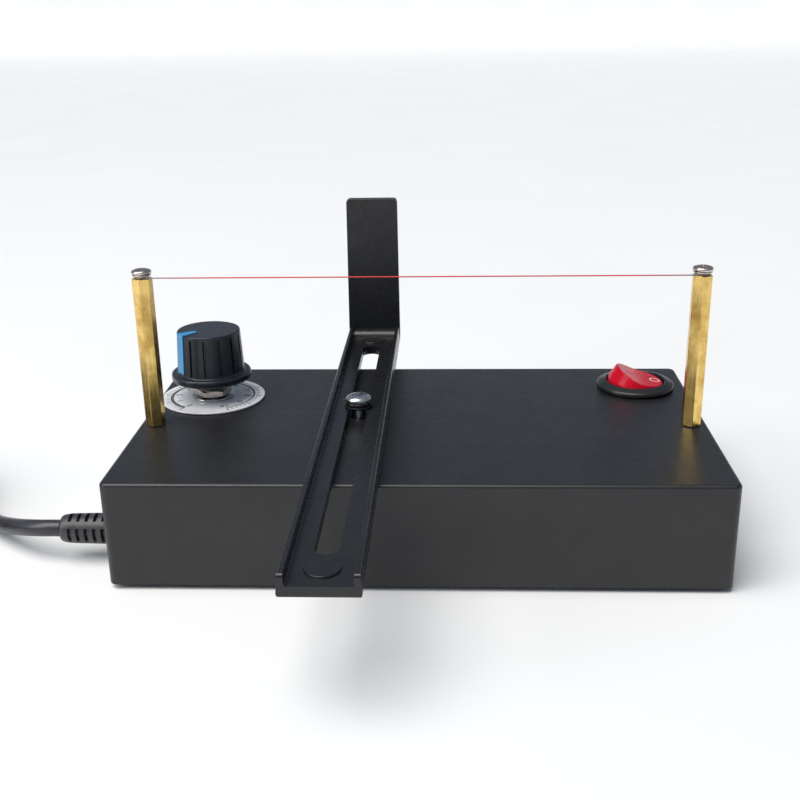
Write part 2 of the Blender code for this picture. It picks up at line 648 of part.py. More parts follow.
def switch_rocker(pivot):
    """A ball of the rocker's radius, cut to a shallow V on top and flat below."""
    bm = bmesh.new()
    bmesh.ops.create_uvsphere(bm, u_segments=28, v_segments=14, radius=ROCKER_RADIUS)
    rocker = from_bmesh("switch_rocker", bm, "red_rocker", pivot, (0, ROCKER_TILT, 0))
    smooth(rocker)
    reach = 2 * ROCKER_RADIUS
    end = ROCKER_MIDDLE + reach * ROCKER_RISE
    top = [(-reach, end), (0, ROCKER_MIDDLE), (reach, end), (reach, reach), (-reach, reach)]
    tilt = Matrix.Translation(pivot) @ Matrix.Rotation(ROCKER_TILT, 4, "Y")
    boolean(rocker, prism("rocker_top", top, 2 * reach, tilt @ Matrix.Rotation(
        math.pi / 2, 4, "X")))
    low = block("rocker_low", (2 * reach, 2 * reach, reach), (0, 0, 0))
    low.matrix_world = tilt @ Matrix.Translation((0, 0, ROCKER_FLAT - reach / 2))
    boolean(rocker, low)


def switch_terminals(body_low):
    for index, x in enumerate((-0.0040, 0.0040)):
        high = SWITCH_PLACE.z + body_low - FIT
        place = SWITCH_PLACE + Vector((x, 0, 0))
        block(f"switch_terminal_{index + 1}", (0.0008, 0.0048, 0.0062),
              (place.x, place.y, high - 0.0031), "brass", 0.0002)


# ---------------------------------------------------------------- circuit board and what is on it
def circuit_board():
    board = block("circuit_board", BOARD_SIZE, BOARD_PLACE, "green_board")
    for index, (x, y) in enumerate(BOARD_SCREWS):
        place = BOARD_PLACE + Vector((x, y, 0))
        boolean(board, rod(f"board_hole_{index + 1}", 0.0016, 0.0060, place, sides=12))
        top = BOARD_PLACE.z + BOARD_SIZE[2] / 2
        pan_screw(f"board_screw_{index + 1}", (place.x, place.y, top + FIT), 0.0024, 0.0015,
                  0.0012, 0.0052, "zinc", steps=10)


def on_board(x, y, height):
    return (BOARD_PLACE.x + x, BOARD_PLACE.y + y,
            BOARD_PLACE.z + BOARD_SIZE[2] / 2 + FIT + height)


def board_components():
    middle = on_board(0.024, -0.006, 0.0078)
    core = block("transformer_core", (0.0230, 0.0060, 0.0060), middle, "ferrite")
    for index, sign in enumerate((-1, 1)):
        yoke = block(f"core_yoke_{index + 1}", (0.0040, 0.0180, 0.0145),
                     on_board(0.024 + sign * 0.0095, -0.006, 0.0078))
        boolean(core, yoke, "UNION")
    winding = block("transformer_winding", (0.0140, 0.0160, 0.0130), middle, "copper", 0.0015)
    boolean(winding, block("winding_tunnel", (0.0300, 0.0066, 0.0066), middle))
    for name, x, y, radius, height in (("input_capacitor", -0.036, 0.010, 0.0062, 0.0150),
                                       ("output_capacitor", 0.003, -0.016, 0.0050, 0.0130)):
        profile = [(0.0, height), (radius - 0.0005, height), (radius, height - 0.0005),
                   (radius, 0.0), (0.0, 0.0)]
        turned(name, profile, on_board(x, y, 0.0), "sleeve_blue", 16)
    block("heat_sink", (0.0240, 0.0030, 0.0160), on_board(-0.0120, 0.0215, 0.0080), "heat_sink",
          0.0003)
    block("power_transistor", (0.0100, 0.0042, 0.0130), on_board(-0.0120, 0.0176, 0.0085),
          "ferrite", 0.0003)
    rod("fuse", 0.0026, 0.0180, on_board(-0.0260, -0.0180, 0.0028), "glass_tube", sides=12,
        turn=(0, math.pi / 2, 0))
    block("terminal_block", (0.0150, 0.0080, 0.0090), on_board(-0.0050, -0.0050, 0.0045),
          "terminal_green", 0.0004)


def inner_leads():
    """Leads from the board to the posts, the switch and the potentiometer."""
    y = CASE_Y + POST_Y
    lug_z = CEILING - 0.0050
    block_top = BOARD_PLACE.z + BOARD_SIZE[2] / 2 + FIT + 0.0090
    middle_y = CASE_Y - 0.0110
    routes = {
        "left_post_lead": ([(-0.0205, middle_y, block_top + 0.0008),
                            (-0.0215, middle_y, block_top + 0.0030),
                            (-0.0280, CASE_Y - 0.0130, block_top + 0.0050),
                            (-0.0480, CASE_Y - 0.0120, block_top + 0.0040),
                            (-0.0650, y - 0.0040, lug_z - 0.0010), (-0.0732, y, lug_z)],
                           "lead_red"),
        "right_post_lead": ([(-0.0135, middle_y, block_top + 0.0008),
                             (-0.0140, middle_y - 0.0012, block_top + 0.0030),
                             (-0.0160, CASE_Y - 0.0190, block_top + 0.0052),
                             (-0.0110, CASE_Y - 0.0300, block_top + 0.0050),
                             (0.0200, CASE_Y - 0.0310, block_top + 0.0040),
                             (0.0560, y - 0.0100, lug_z - 0.0010), (0.0732, y, lug_z)],
                            "lead_red"),
        "switch_lead": ([(0.0624, CASE_Y + SWITCH_Y - 0.0035, 0.0100),
                         (0.0600, CASE_Y + SWITCH_Y - 0.0120, 0.0085),
                         (0.0480, CASE_Y + 0.0060, 0.0075), (0.0400, CASE_Y - 0.0040, 0.0080),
                         (0.0345, CASE_Y - 0.0060, 0.0092)], "lead_brown"),
        "dial_lead": ([(-0.0650, CASE_Y + 0.0050, TOP - 0.0063),
                       (-0.0650, CASE_Y + 0.0010, TOP - 0.0075),
                       (-0.0635, CASE_Y - 0.0060, 0.0150), (-0.0610, CASE_Y - 0.0080, 0.0100),
                       (-0.0580, CASE_Y - 0.0080, 0.0092)], "lead_brown"),
    }
    for name, (route, finish) in routes.items():
        tube(name, smooth_route(route, 0.0055), 0.0008, finish, resolution=1)


# ---------------------------------------------------------------- mains lead
RELIEF_LENGTH = 0.0168      # outside the case
RELIEF_RADIUS = 0.0042
CORD_EXIT = RELIEF_PLACE - Vector((GAP + RELIEF_LENGTH, 0, 0))
COIL_MIDDLE = Vector((-0.1730, 0.0060, 0))
COIL_TURN = 0.0262          # radius at the middle of its turns
COIL_TURNS_WIDE = 3
COIL_TURNS_HIGH = 3
COIL_LIFT = 0.0014          # the tie passes underneath
COIL_OUTER = COIL_TURN + COIL_TURNS_WIDE * CORD_RADIUS
COIL_INNER = COIL_TURN - COIL_TURNS_WIDE * CORD_RADIUS
COIL_TOP = COIL_LIFT + 2 * COIL_TURNS_HIGH * CORD_RADIUS
COIL_ENTRY = math.radians(25)
TAIL_ANGLES = (-0.60, -0.45, -0.30, -0.15, 0.0)  # along the coil, up to where the tail leaves it
COIL_LEAVE = math.radians(200)
TIE_ANGLE = math.radians(-60)
TIE_WIDTH = 0.0080
TIE_THICK = 0.0008
PLUG_TURN = math.radians(12)
PLUG_BACK = Vector((-0.1925, -0.0420, 0.0071))
PLUG_LENGTH = 0.0350
PLUG_WIDTH = 0.0345
PLUG_THICK = 0.0137
PLUG_TAIL_WIDTH = 0.0110
PIN_RADIUS = 0.0020
PIN_LENGTH = 0.0190
PIN_SPACING = 0.0186


def beside_coil(angle, height):
    """A point where the lead lies against the outside of the coil."""
    reach = COIL_OUTER + GAP + CORD_RADIUS
    return COIL_MIDDLE + Vector((reach * math.cos(angle), reach * math.sin(angle), height))


# hand-chosen route from the strain relief to the coil, counted from the exit
CORD_ROUTE = [
    (-0.0030, 0.0, 0.0),
    (-0.0060, 0.0004, -0.0002),
    (-0.0110, 0.0024, -0.0011),
    (-0.0172, 0.0066, -0.0028),
    (-0.0238, 0.0126, -0.0048),
    (-0.0305, 0.0208, -0.0066),
    (-0.0366, 0.0300, -0.0071),
]
# and from the coil to the plug
TAIL_ROUTE = [
    (-0.2035, -0.0155, 0.0028),
    (-0.1990, -0.0245, 0.0045),
]


def strain_relief():
    """Rubber sleeve with a groove that grips the case wall, and a round outer end."""
    outer_end = CASE_LENGTH / 2 + GAP + RELIEF_LENGTH
    inner_end = CASE_LENGTH / 2 - WALL - 0.0045
    wall_out = CASE_LENGTH / 2 + GAP
    wall_in = CASE_LENGTH / 2 - WALL - GAP
    radius = RELIEF_RADIUS
    profile = [(0.0, outer_end), (radius - 0.0012, outer_end), (radius - 0.0004, outer_end - 0.0008),
               (radius - 0.0001, outer_end - 0.0020), (radius + 0.0002, wall_out),
               (0.0032, wall_out), (0.0032, wall_in), (radius + 0.0004, wall_in),
               (radius, inner_end), (0.0, inner_end)]
    return turned("strain_relief", profile, (0, RELIEF_PLACE.y, RELIEF_PLACE.z), "rubber",
                  steps=20, turn=(0, -math.pi / 2, 0))


def power_cord():
    """The stretch from the case to the coil, and the short one from the coil to the plug."""
    floor = CORD_RADIUS + 0.0002
    route = [CORD_EXIT + Vector(step) for step in CORD_ROUTE] + [beside_coil(COIL_ENTRY, floor)]
    points = [CORD_EXIT - Vector((GAP, 0, 0))] + smooth_route(route, 0.0090)
    tube("power_cord", points, CORD_RADIUS, "cord", resolution=3)
    along = Vector((math.sin(PLUG_TURN), -math.cos(PLUG_TURN), 0))
    tail = [beside_coil(COIL_LEAVE + angle, floor) for angle in TAIL_ANGLES]
    tail += [Vector(place) for place in TAIL_ROUTE]
    tail += [PLUG_BACK - 0.0090 * along, PLUG_BACK - GAP * along]
    tube("cord_tail", smooth_route(tail, 0.0060), CORD_RADIUS, "cord", resolution=3)


def cord_coil():
    """The wound part of the lead as one ring."""
    edge = 0.0018
    profile = [(COIL_INNER + edge, COIL_TOP), (COIL_OUTER - edge, COIL_TOP),
               (COIL_OUTER, COIL_TOP - edge), (COIL_OUTER, COIL_LIFT + edge),
               (COIL_OUTER - edge, COIL_LIFT), (COIL_INNER + edge, COIL_LIFT),
               (COIL_INNER, COIL_LIFT + edge), (COIL_INNER, COIL_TOP - edge)]
    turned("cord_coil", profile, COIL_MIDDLE, "cord", steps=32, ring=True)


def cord_tie():
    """A band round the coil."""
    wide = 2 * COIL_TURNS_WIDE * CORD_RADIUS + 2 * GAP
    high = COIL_TOP - COIL_LIFT + 2 * GAP
    middle = COIL_MIDDLE + Vector((COIL_TURN * math.cos(TIE_ANGLE),
                                   COIL_TURN * math.sin(TIE_ANGLE),
                                   (COIL_TOP + COIL_LIFT) / 2))
    # the ring curves within the band's width, so the band stands a little wider
    wide += 2 * (COIL_OUTER - math.sqrt(COIL_OUTER ** 2 - (TIE_WIDTH / 2) ** 2))
    turn = (0, 0, TIE_ANGLE)
    band = block("cord_tie", (wide + 2 * TIE_THICK, TIE_WIDTH, high + 2 * TIE_THICK), middle,
                 "rubber", 0.0006, turn=turn)
    return boolean(band, block("tie_inside", (wide, 2 * TIE_WIDTH, high), middle, turn=turn))


def plug():
    """Flat two-pin plug: a body that narrows towards its lead, and two round pins."""
    half = PLUG_WIDTH / 2
    tail = PLUG_TAIL_WIDTH / 2
    outline = [(-tail, 0), (tail, 0), (half, -0.0200), (half, -PLUG_LENGTH), (-half, -PLUG_LENGTH),
               (-half, -0.0200)]
    place = Matrix.Translation(PLUG_BACK) @ Matrix.Rotation(PLUG_TURN, 4, "Z")
    body = prism("plug_body", outline, PLUG_THICK, place, "black_case")
    edge = body.modifiers.new("edge", "BEVEL")
    edge.width = 0.0022
    edge.segments = 2
    edge.limit_method = "ANGLE"
    edge.angle_limit = math.radians(40)
    for name, sign in (("plug_pin_left", -1), ("plug_pin_right", 1)):
        pin = [(0.0, 0.0), (PIN_RADIUS, 0.0), (PIN_RADIUS, 0.0008 - PIN_LENGTH),
               (PIN_RADIUS * 0.5, -PIN_LENGTH), (0.0, -PIN_LENGTH)]
        start = place @ Vector((sign * PIN_SPACING / 2, -PLUG_LENGTH - FIT, 0))
        turned(name, pin, start, "brass", steps=12, turn=Euler((-math.pi / 2, 0, PLUG_TURN)))


def main():
    case_shell()
    bottom_plate()
    bottom_screws()
    feet()
    posts()
    cutting_wire()
    stop_bracket()
    clamp_hardware()
    dial_plate()
    potentiometer()
    control_knob()
    pivot, body_low = rocker_switch()
    switch_rocker(pivot)
    switch_terminals(body_low)
    circuit_board()
    board_components()
    inner_leads()
    strain_relief()
    power_cord()
    cord_coil()
    cord_tie()
    plug()


main()
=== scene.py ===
"""Looks of the bench hot wire cutter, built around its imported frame.

Places and sizes come from the frame's own boxes, in metres: +X runs along the cutting wire to the
user's right, +Y away from the user, +Z up. Each visible piece is made again with its rounded edges,
threads, grooves and print, and rides on the body of the piece that it stands for.
"""

import json
import math

import bmesh
import bpy
from mathutils import Euler, Matrix, Vector

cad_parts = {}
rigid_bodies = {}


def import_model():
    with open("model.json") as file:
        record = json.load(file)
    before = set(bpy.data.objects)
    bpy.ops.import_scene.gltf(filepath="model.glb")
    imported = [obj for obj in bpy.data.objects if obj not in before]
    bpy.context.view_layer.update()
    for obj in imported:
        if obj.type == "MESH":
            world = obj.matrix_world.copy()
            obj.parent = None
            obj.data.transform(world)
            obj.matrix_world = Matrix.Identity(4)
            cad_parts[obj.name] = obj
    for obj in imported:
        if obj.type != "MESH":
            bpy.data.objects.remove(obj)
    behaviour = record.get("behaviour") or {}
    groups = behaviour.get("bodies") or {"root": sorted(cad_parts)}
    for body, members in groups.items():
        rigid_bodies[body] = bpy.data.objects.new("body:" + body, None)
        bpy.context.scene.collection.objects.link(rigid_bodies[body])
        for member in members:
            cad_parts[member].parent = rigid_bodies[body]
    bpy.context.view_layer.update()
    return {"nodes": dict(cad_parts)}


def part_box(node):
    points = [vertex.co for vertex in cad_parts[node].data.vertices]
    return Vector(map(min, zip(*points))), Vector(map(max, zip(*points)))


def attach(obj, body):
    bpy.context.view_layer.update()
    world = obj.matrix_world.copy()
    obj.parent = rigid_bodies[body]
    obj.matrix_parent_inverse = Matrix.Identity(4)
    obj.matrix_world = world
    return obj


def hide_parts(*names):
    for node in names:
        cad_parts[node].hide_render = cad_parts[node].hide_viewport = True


for leftover in list(bpy.data.objects):
    bpy.data.objects.remove(leftover, do_unlink=True)
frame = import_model()


def span(node):
    """The low and high corners of a node's box, and its middle."""
    low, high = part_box(node)
    return low, high, (low + high) / 2


def node_middle(node):
    return span(node)[2]


def shift(place):
    return Matrix.Translation(place)


def turn_about(axis, degrees):
    return Matrix.Rotation(math.radians(degrees), 4, axis)


def in_scene(obj):
    bpy.context.scene.collection.objects.link(obj)
    return obj


# ---------------------------------------------------------------- places read from the frame
CASE_LOW, CASE_HIGH, CASE_MIDDLE = span("case_shell")
TOP = CASE_HIGH.z
WALL = 0.0020
PLATE_HIGH = 0.0037
GAP = 0.0003
POSTS = {side: node_middle(f"{side}_post") for side in ("left", "right")}
POST_LOW, POST_HIGH = (corner.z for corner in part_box("left_post"))
CLAMP = node_middle("clamp_screw")
KNOB = node_middle("potentiometer_shaft")
SWITCH = node_middle("switch_body")
RELIEF_LOW, RELIEF_HIGH, RELIEF = span("strain_relief")
CORD_EXIT = Vector((RELIEF_LOW.x, RELIEF.y, RELIEF.z))
CORD_RADIUS = 0.00235


# ---------------------------------------------------------------- camera
def make_camera():
    """A low three-quarter view from the front, as the object was first seen."""
    yaw, pitch, roll = 0.0489, 0.3512, -0.0174
    place = Vector((0.00865, -0.28782, 0.14656))
    ahead = Vector((-math.sin(yaw) * math.cos(pitch), math.cos(yaw) * math.cos(pitch),
                    -math.sin(pitch)))
    right = Vector((math.cos(yaw), math.sin(yaw), 0))
    up = right.cross(ahead)
    level = Matrix((right, up, -ahead)).transposed().to_4x4()
    data = bpy.data.cameras.new("camera")
    data.lens = 49.45
    data.sensor_width = 36.0
    data.clip_start = 0.01
    data.clip_end = 60.0
    camera = bpy.data.objects.new("camera", data)
    camera.matrix_world = shift(place) @ level @ Matrix.Rotation(roll, 4, "Z")
    bpy.context.scene.camera = in_scene(camera)


# ---------------------------------------------------------------- materials
class Shader:
    """A principled material whose nodes are added one after another."""

    def __init__(self, name, colour, roughness, metallic=0.0, **sockets):
        self.material = bpy.data.materials.new(name)
        self.material.use_nodes = True
        self.tree = self.material.node_tree
        self.main = self.tree.nodes["Principled BSDF"]
        self.main.inputs["Base Color"].default_value = (*colour, 1.0)
        self.main.inputs["Roughness"].default_value = roughness
        self.main.inputs["Metallic"].default_value = metallic
        for socket, value in sockets.items():
            self.main.inputs[socket.replace("_", " ")].default_value = value
        self.place = self.add("ShaderNodeTexCoord").outputs["Object"]
        self.height = None

    def add(self, kind, **settings):
        node = self.tree.nodes.new(kind)
        for setting, value in settings.items():
            setattr(node, setting, value)
        return node

    def link(self, output, socket):
        self.tree.links.new(output, socket)

    def noise(self, scale, detail=3.0, stretch=None, rough=0.55):
        """Noise over the object's own metres: scale is in waves a metre."""
        node = self.add("ShaderNodeTexNoise")
        node.inputs["Scale"].default_value = scale
        node.inputs["Detail"].default_value = detail
        node.inputs["Roughness"].default_value = rough
        place = self.place
        if stretch:
            mapping = self.add("ShaderNodeMapping")
            mapping.inputs["Scale"].default_value = stretch
            self.link(place, mapping.inputs["Vector"])
            place = mapping.outputs["Vector"]
        self.link(place, node.inputs["Vector"])
        return node.outputs["Fac"]

    def spread(self, value, low, high, start=0.3, end=0.7):
        """Maps a noise's usual range to low and high."""
        node = self.add("ShaderNodeMapRange")
        node.inputs["From Min"].default_value = start
        node.inputs["From Max"].default_value = end
        node.inputs["To Min"].default_value = low
        node.inputs["To Max"].default_value = high
        self.link(value, node.inputs["Value"])
        return node.outputs["Result"]

    def vary_roughness(self, value, low, high):
        self.link(self.spread(value, low, high), self.main.inputs["Roughness"])

    def vary_colour(self, value, first, second, start=0.3, end=0.7):
        node = self.add("ShaderNodeMix", data_type="RGBA")
        node.inputs[6].default_value = (*first, 1.0)
        node.inputs[7].default_value = (*second, 1.0)
        self.link(self.spread(value, 0.0, 1.0, start, end), node.inputs[0])
        self.link(node.outputs[2], self.main.inputs["Base Color"])

    def bump(self, value, strength, depth):
        """Adds a layer of relief, depth metres deep, over what is there."""
        node = self.add("ShaderNodeBump")
        node.inputs["Strength"].default_value = strength
        node.inputs["Distance"].default_value = depth
        self.link(value, node.inputs["Height"])
        if self.height:
            self.link(self.height, node.inputs["Normal"])
        self.height = node.outputs["Normal"]
        self.link(self.height, self.main.inputs["Normal"])


def moulded(name, dark, light, roughness, grain=5200.0, relief=0.00002):
    """Moulded plastic: fine spark-eroded grain, a faint flow mottle and a few softer patches."""
    shader = Shader(name, dark, roughness)
    shader.vary_colour(shader.noise(90.0, 4.0), dark, light)
    shader.vary_roughness(shader.noise(420.0, 5.0), roughness - 0.05, roughness + 0.07)
    shader.bump(shader.noise(grain, 2.0), 0.35, relief)
    shader.bump(shader.noise(160.0, 2.0), 0.10, 0.00010)
    return shader.material


def plated(name, dark, light, roughness):
    """Plated or turned metal with fine pits and uneven shine."""
    shader = Shader(name, light, roughness, 1.0)
    shader.vary_colour(shader.noise(700.0, 5.0), dark, light)
    shader.vary_roughness(shader.noise(1500.0, 4.0), roughness - 0.08, roughness + 0.12)
    shader.bump(shader.noise(3000.0, 3.0), 0.3, 0.000012)
    return shader.material


def drawn_brass():
    """Drawn hexagon brass: streaks along its length and patches of brown tarnish."""
    shader = Shader("drawn_brass", (0.80, 0.52, 0.16), 0.24, 1.0)
    streaks = shader.noise(1.0, 4.0, stretch=(2600.0, 2600.0, 40.0))
    shader.vary_colour(shader.noise(230.0, 6.0, rough=0.65), (0.46, 0.25, 0.05), (0.90, 0.64, 0.22),
                       0.26, 0.62)
    shader.vary_roughness(streaks, 0.17, 0.33)
    shader.bump(streaks, 0.25, 0.000012)
    shader.bump(shader.noise(900.0, 3.0), 0.12, 0.00003)
    return shader.material


def hot_wire():
    """Resistance wire: grey at its clamped ends, with a painted red glow along the heated stretch.
    """
    shader = Shader("hot_wire", (0.62, 0.08, 0.10), 0.42, 0.25)
    split = shader.add("ShaderNodeSeparateXYZ")
    shader.link(shader.place, split.inputs["Vector"])
    size = shader.add("ShaderNodeMath", operation="ABSOLUTE")
    shader.link(split.outputs["X"], size.inputs[0])
    # painted glow: red base colour in the wire's middle stands in for heat glow, fading to grey
    # towards the clamped ends
    shader.vary_colour(size.outputs[0], (0.66, 0.045, 0.065), (0.24, 0.20, 0.20), 0.060, 0.0745)
    shader.bump(shader.noise(9000.0, 2.0), 0.3, 0.00001)
    return shader.material


def dial_face():
    """Satin aluminium disc, brushed across, with small stains."""
    shader = Shader("dial_face", (0.80, 0.80, 0.82), 0.26, 0.15)
    brushed = shader.noise(1.0, 3.0, stretch=(260.0, 6200.0, 800.0))
    shader.vary_colour(shader.noise(800.0, 6.0, rough=0.7), (0.62, 0.62, 0.63), (0.84, 0.84, 0.86),
                       0.18, 0.54)
    shader.vary_roughness(brushed, 0.20, 0.36)
    shader.bump(brushed, 0.2, 0.00001)
    return shader.material


def rocker_red():
    """Glossy clear-red plastic."""
    shader = Shader("rocker_red", (0.52, 0.003, 0.018), 0.26, Specular_IOR_Level=0.18)
    shader.vary_colour(shader.noise(260.0, 3.0), (0.46, 0.002, 0.016), (0.58, 0.004, 0.020))
    shader.vary_roughness(shader.noise(900.0, 4.0), 0.22, 0.31)
    shader.bump(shader.noise(1200.0, 2.0), 0.15, 0.000004)
    return shader.material


def rubbery(name, dark, light, roughness):
    """Soft PVC or rubber with a waxy, slightly uneven skin."""
    shader = Shader(name, dark, roughness)
    shader.vary_colour(shader.noise(340.0, 4.0), dark, light)
    shader.vary_roughness(shader.noise(1300.0, 4.0), roughness - 0.08, roughness + 0.08)
    shader.bump(shader.noise(2600.0, 4.0), 0.3, 0.00003)
    return shader.material


def board_green():
    """Solder resist over copper tracks that run along and across."""
    shader = Shader("board_green", (0.02, 0.16, 0.07), 0.38)
    wave = shader.add("ShaderNodeTexWave", wave_type="BANDS", bands_direction="X")
    wave.inputs["Scale"].default_value = 95.0
    wave.inputs["Distortion"].default_value = 3.0
    wave.inputs["Detail Scale"].default_value = 60.0
    shader.link(shader.place, wave.inputs["Vector"])
    shader.vary_colour(wave.outputs["Fac"], (0.012, 0.10, 0.045), (0.04, 0.24, 0.10), 0.45, 0.55)
    shader.bump(wave.outputs["Fac"], 0.3, 0.00004)
    return shader.material


def wound_copper():
    """Enamelled wire wound in close turns."""
    shader = Shader("wound_copper", (0.72, 0.30, 0.13), 0.32, 1.0)
    wave = shader.add("ShaderNodeTexWave", wave_type="BANDS", bands_direction="X")
    wave.inputs["Scale"].default_value = 420.0
    shader.link(shader.place, wave.inputs["Vector"])
    shader.vary_colour(wave.outputs["Fac"], (0.40, 0.13, 0.05), (0.80, 0.36, 0.16), 0.0, 0.7)
    shader.bump(wave.outputs["Fac"], 0.6, 0.00015)
    return shader.material


def frosted_glass():
    shader = Shader("fuse_glass", (0.85, 0.90, 0.90), 0.08, Transmission_Weight=0.9, IOR=1.48)
    shader.vary_roughness(shader.noise(1200.0, 3.0), 0.04, 0.14)
    return shader.material


MATERIALS = {
    "case": moulded("case_plastic", (0.0105, 0.0105, 0.0115), (0.0150, 0.0150, 0.0160), 0.36),
    "stop": moulded("stop_plastic", (0.0085, 0.0088, 0.0098), (0.0130, 0.0134, 0.0145), 0.27,
                    3000.0, 0.000004),
    "switch": moulded("switch_plastic", (0.009, 0.0095, 0.009), (0.014, 0.015, 0.014), 0.33),
    "knob": moulded("knob_plastic", (0.009, 0.011, 0.017), (0.014, 0.018, 0.028), 0.30,
                    4200.0, 0.000008),
    "pointer": moulded("pointer_plastic", (0.020, 0.235, 0.50), (0.035, 0.30, 0.58), 0.36),
    "rocker": rocker_red(),
    "mark": moulded("mark_ink", (0.72, 0.62, 0.62), (0.82, 0.74, 0.74), 0.5),
    "faint_mark": moulded("faint_mark_ink", (0.66, 0.05, 0.07), (0.74, 0.08, 0.10), 0.5),
    "print": moulded("dial_ink", (0.045, 0.045, 0.055), (0.10, 0.10, 0.11), 0.55),
    "brass": drawn_brass(),
    "nickel": plated("nickel_plate", (0.44, 0.38, 0.34), (0.74, 0.66, 0.60), 0.27),
    "zinc": plated("zinc_plate", (0.42, 0.45, 0.44), (0.74, 0.76, 0.76), 0.24),
    "dark_steel": plated("black_oxide", (0.030, 0.030, 0.034), (0.085, 0.085, 0.092), 0.42),
    "wire": hot_wire(),
    "dial": dial_face(),
    "rubber": rubbery("rubber", (0.018, 0.018, 0.020), (0.032, 0.032, 0.034), 0.55),
    "relief": rubbery("relief_rubber", (0.026, 0.025, 0.028), (0.050, 0.048, 0.054), 0.40),
    "cord": rubbery("cord_sheath", (0.022, 0.022, 0.026), (0.038, 0.038, 0.043), 0.34),
    "tie": rubbery("tie_band", (0.030, 0.030, 0.033), (0.050, 0.050, 0.054), 0.75),
    "board": board_green(),
    "ferrite": plated("ferrite", (0.035, 0.035, 0.036), (0.075, 0.075, 0.078), 0.62),
    "copper": wound_copper(),
    "sleeve": moulded("sleeve_blue", (0.012, 0.035, 0.20), (0.020, 0.055, 0.27), 0.34),
    "glass": frosted_glass(),
    "aluminium": plated("plain_aluminium", (0.52, 0.53, 0.54), (0.76, 0.77, 0.78), 0.40),
    "terminal": moulded("terminal_green", (0.02, 0.28, 0.08), (0.03, 0.38, 0.11), 0.42),
    "lead_red": rubbery("lead_red", (0.50, 0.02, 0.02), (0.62, 0.03, 0.03), 0.40),
    "lead_brown": rubbery("lead_brown", (0.14, 0.055, 0.02), (0.22, 0.09, 0.035), 0.40),
}


# ---------------------------------------------------------------- mesh tools
def to_mesh(obj):
    """The object's evaluated mesh, with its doubles merged."""
    bpy.context.view_layer.update()
    graph = bpy.context.evaluated_depsgraph_get()
    mesh = bpy.data.meshes.new_from_object(obj.evaluated_get(graph))
    bm = bmesh.new()
    bm.from_mesh(mesh)
    bmesh.ops.remove_doubles(bm, verts=bm.verts, dist=1e-7)
    bm.to_mesh(mesh)
    bm.free()
    return mesh


def piece(obj, body, material, replaced=(), degrees=34):
    """Fixes an object's modifiers, shades and paints it, and makes it ride on its body."""
    mesh = to_mesh(obj)
    obj.modifiers.clear()
    obj.data = mesh
    obj.data.materials.clear()
    obj.data.materials.append(MATERIALS[material])
    obj.data.shade_smooth()
    obj.data.set_sharp_from_angle(angle=math.radians(degrees))
    weighted = obj.modifiers.new("weighted", "WEIGHTED_NORMAL")
    weighted.keep_sharp = True
    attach(obj, body)
    if replaced:
        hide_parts(*replaced)
    return obj


def from_bmesh(name, bm, matrix=None):
    mesh = bpy.data.meshes.new(name)
    bmesh.ops.recalc_face_normals(bm, faces=bm.faces)
    if matrix is not None:
        bm.transform(matrix)
        if matrix.determinant() < 0:
            bmesh.ops.reverse_faces(bm, faces=bm.faces)
    bm.to_mesh(mesh)
    bm.free()
    return in_scene(bpy.data.objects.new(name, mesh))


def softened(points, radius, steps=3, closed=True):
    """A polyline with each corner replaced by a short curve that starts radius away from it."""
    points = [Vector(point) for point in points]
    made = []
    for index, corner in enumerate(points):
        if not closed and index in (0, len(points) - 1):
            made.append(tuple(corner))
            continue
        before = points[index - 1]
        after = points[(index + 1) % len(points)]
        start = corner + (before - corner) * min(0.45, radius / max((before - corner).length, 1e-9))
        end = corner + (after - corner) * min(0.45, radius / max((after - corner).length, 1e-9))
        for step in range(steps + 1):
            t = step / steps
            made.append(tuple(start * (1 - t) ** 2 + corner * 2 * t * (1 - t) + end * t * t))
    return made


def eased(points, radii, steps=4):
    """A closed outline with a corner radius of its own for each corner."""
    made = []
    for index, corner in enumerate(points):
        if radii[index]:
            trio = [points[index - 1], corner, points[(index + 1) % len(points)]]
            made += softened(trio, radii[index], steps, closed=False)[1:-1]
        else:
            made.append(tuple(corner))
    return made


def turned(name, profile, place, steps=64, ring=False, matrix=None):
    """A profile of (radius, height) points turned about Z."""
    bm = bmesh.new()
    verts = [bm.verts.new((radius, 0, height)) for radius, height in profile]
    edges = [bm.edges.new(pair) for pair in zip(verts, verts[1:])]
    if ring:
        edges.append(bm.edges.new((verts[-1], verts[0])))
    bmesh.ops.spin(bm, geom=verts + edges, cent=(0, 0, 0), axis=(0, 0, 1), angle=2 * math.pi,
                   steps=steps, use_merge=True)
    bmesh.ops.remove_doubles(bm, verts=bm.verts, dist=1e-7)
    return from_bmesh(name, bm, shift(place) @ (matrix or Matrix.Identity(4)))


def prism(name, outline, thickness, matrix=None):
    """A flat (x, y) outline, given a thickness that is centred on its plane."""
    bm = bmesh.new()
    face = bm.faces.new([bm.verts.new((x, y, -thickness / 2)) for x, y in outline])
    grown = bmesh.ops.extrude_face_region(bm, geom=[face])
    lifted = [item for item in grown["geom"] if isinstance(item, bmesh.types.BMVert)]
    bmesh.ops.translate(bm, verts=lifted, vec=(0, 0, thickness))
    return from_bmesh(name, bm, matrix)


def cuboid(size):
    bm = bmesh.new()
    bmesh.ops.create_cube(bm, size=1.0)
    bmesh.ops.scale(bm, vec=size, verts=bm.verts)
    return bm


def block(name, size, matrix, rounding=0.0):
    bm = cuboid(size)
    if rounding:
        bmesh.ops.bevel(bm, geom=bm.edges[:], offset=rounding, segments=3, profile=0.5,
                        affect="EDGES", clamp_overlap=True)
    return from_bmesh(name, bm, matrix)


def cylinder(name, radius, length, matrix, sides=48):
    bm = bmesh.new()
    bmesh.ops.create_cone(bm, cap_ends=True, segments=sides, radius1=radius, radius2=radius,
                          depth=length)
    return from_bmesh(name, bm, matrix)


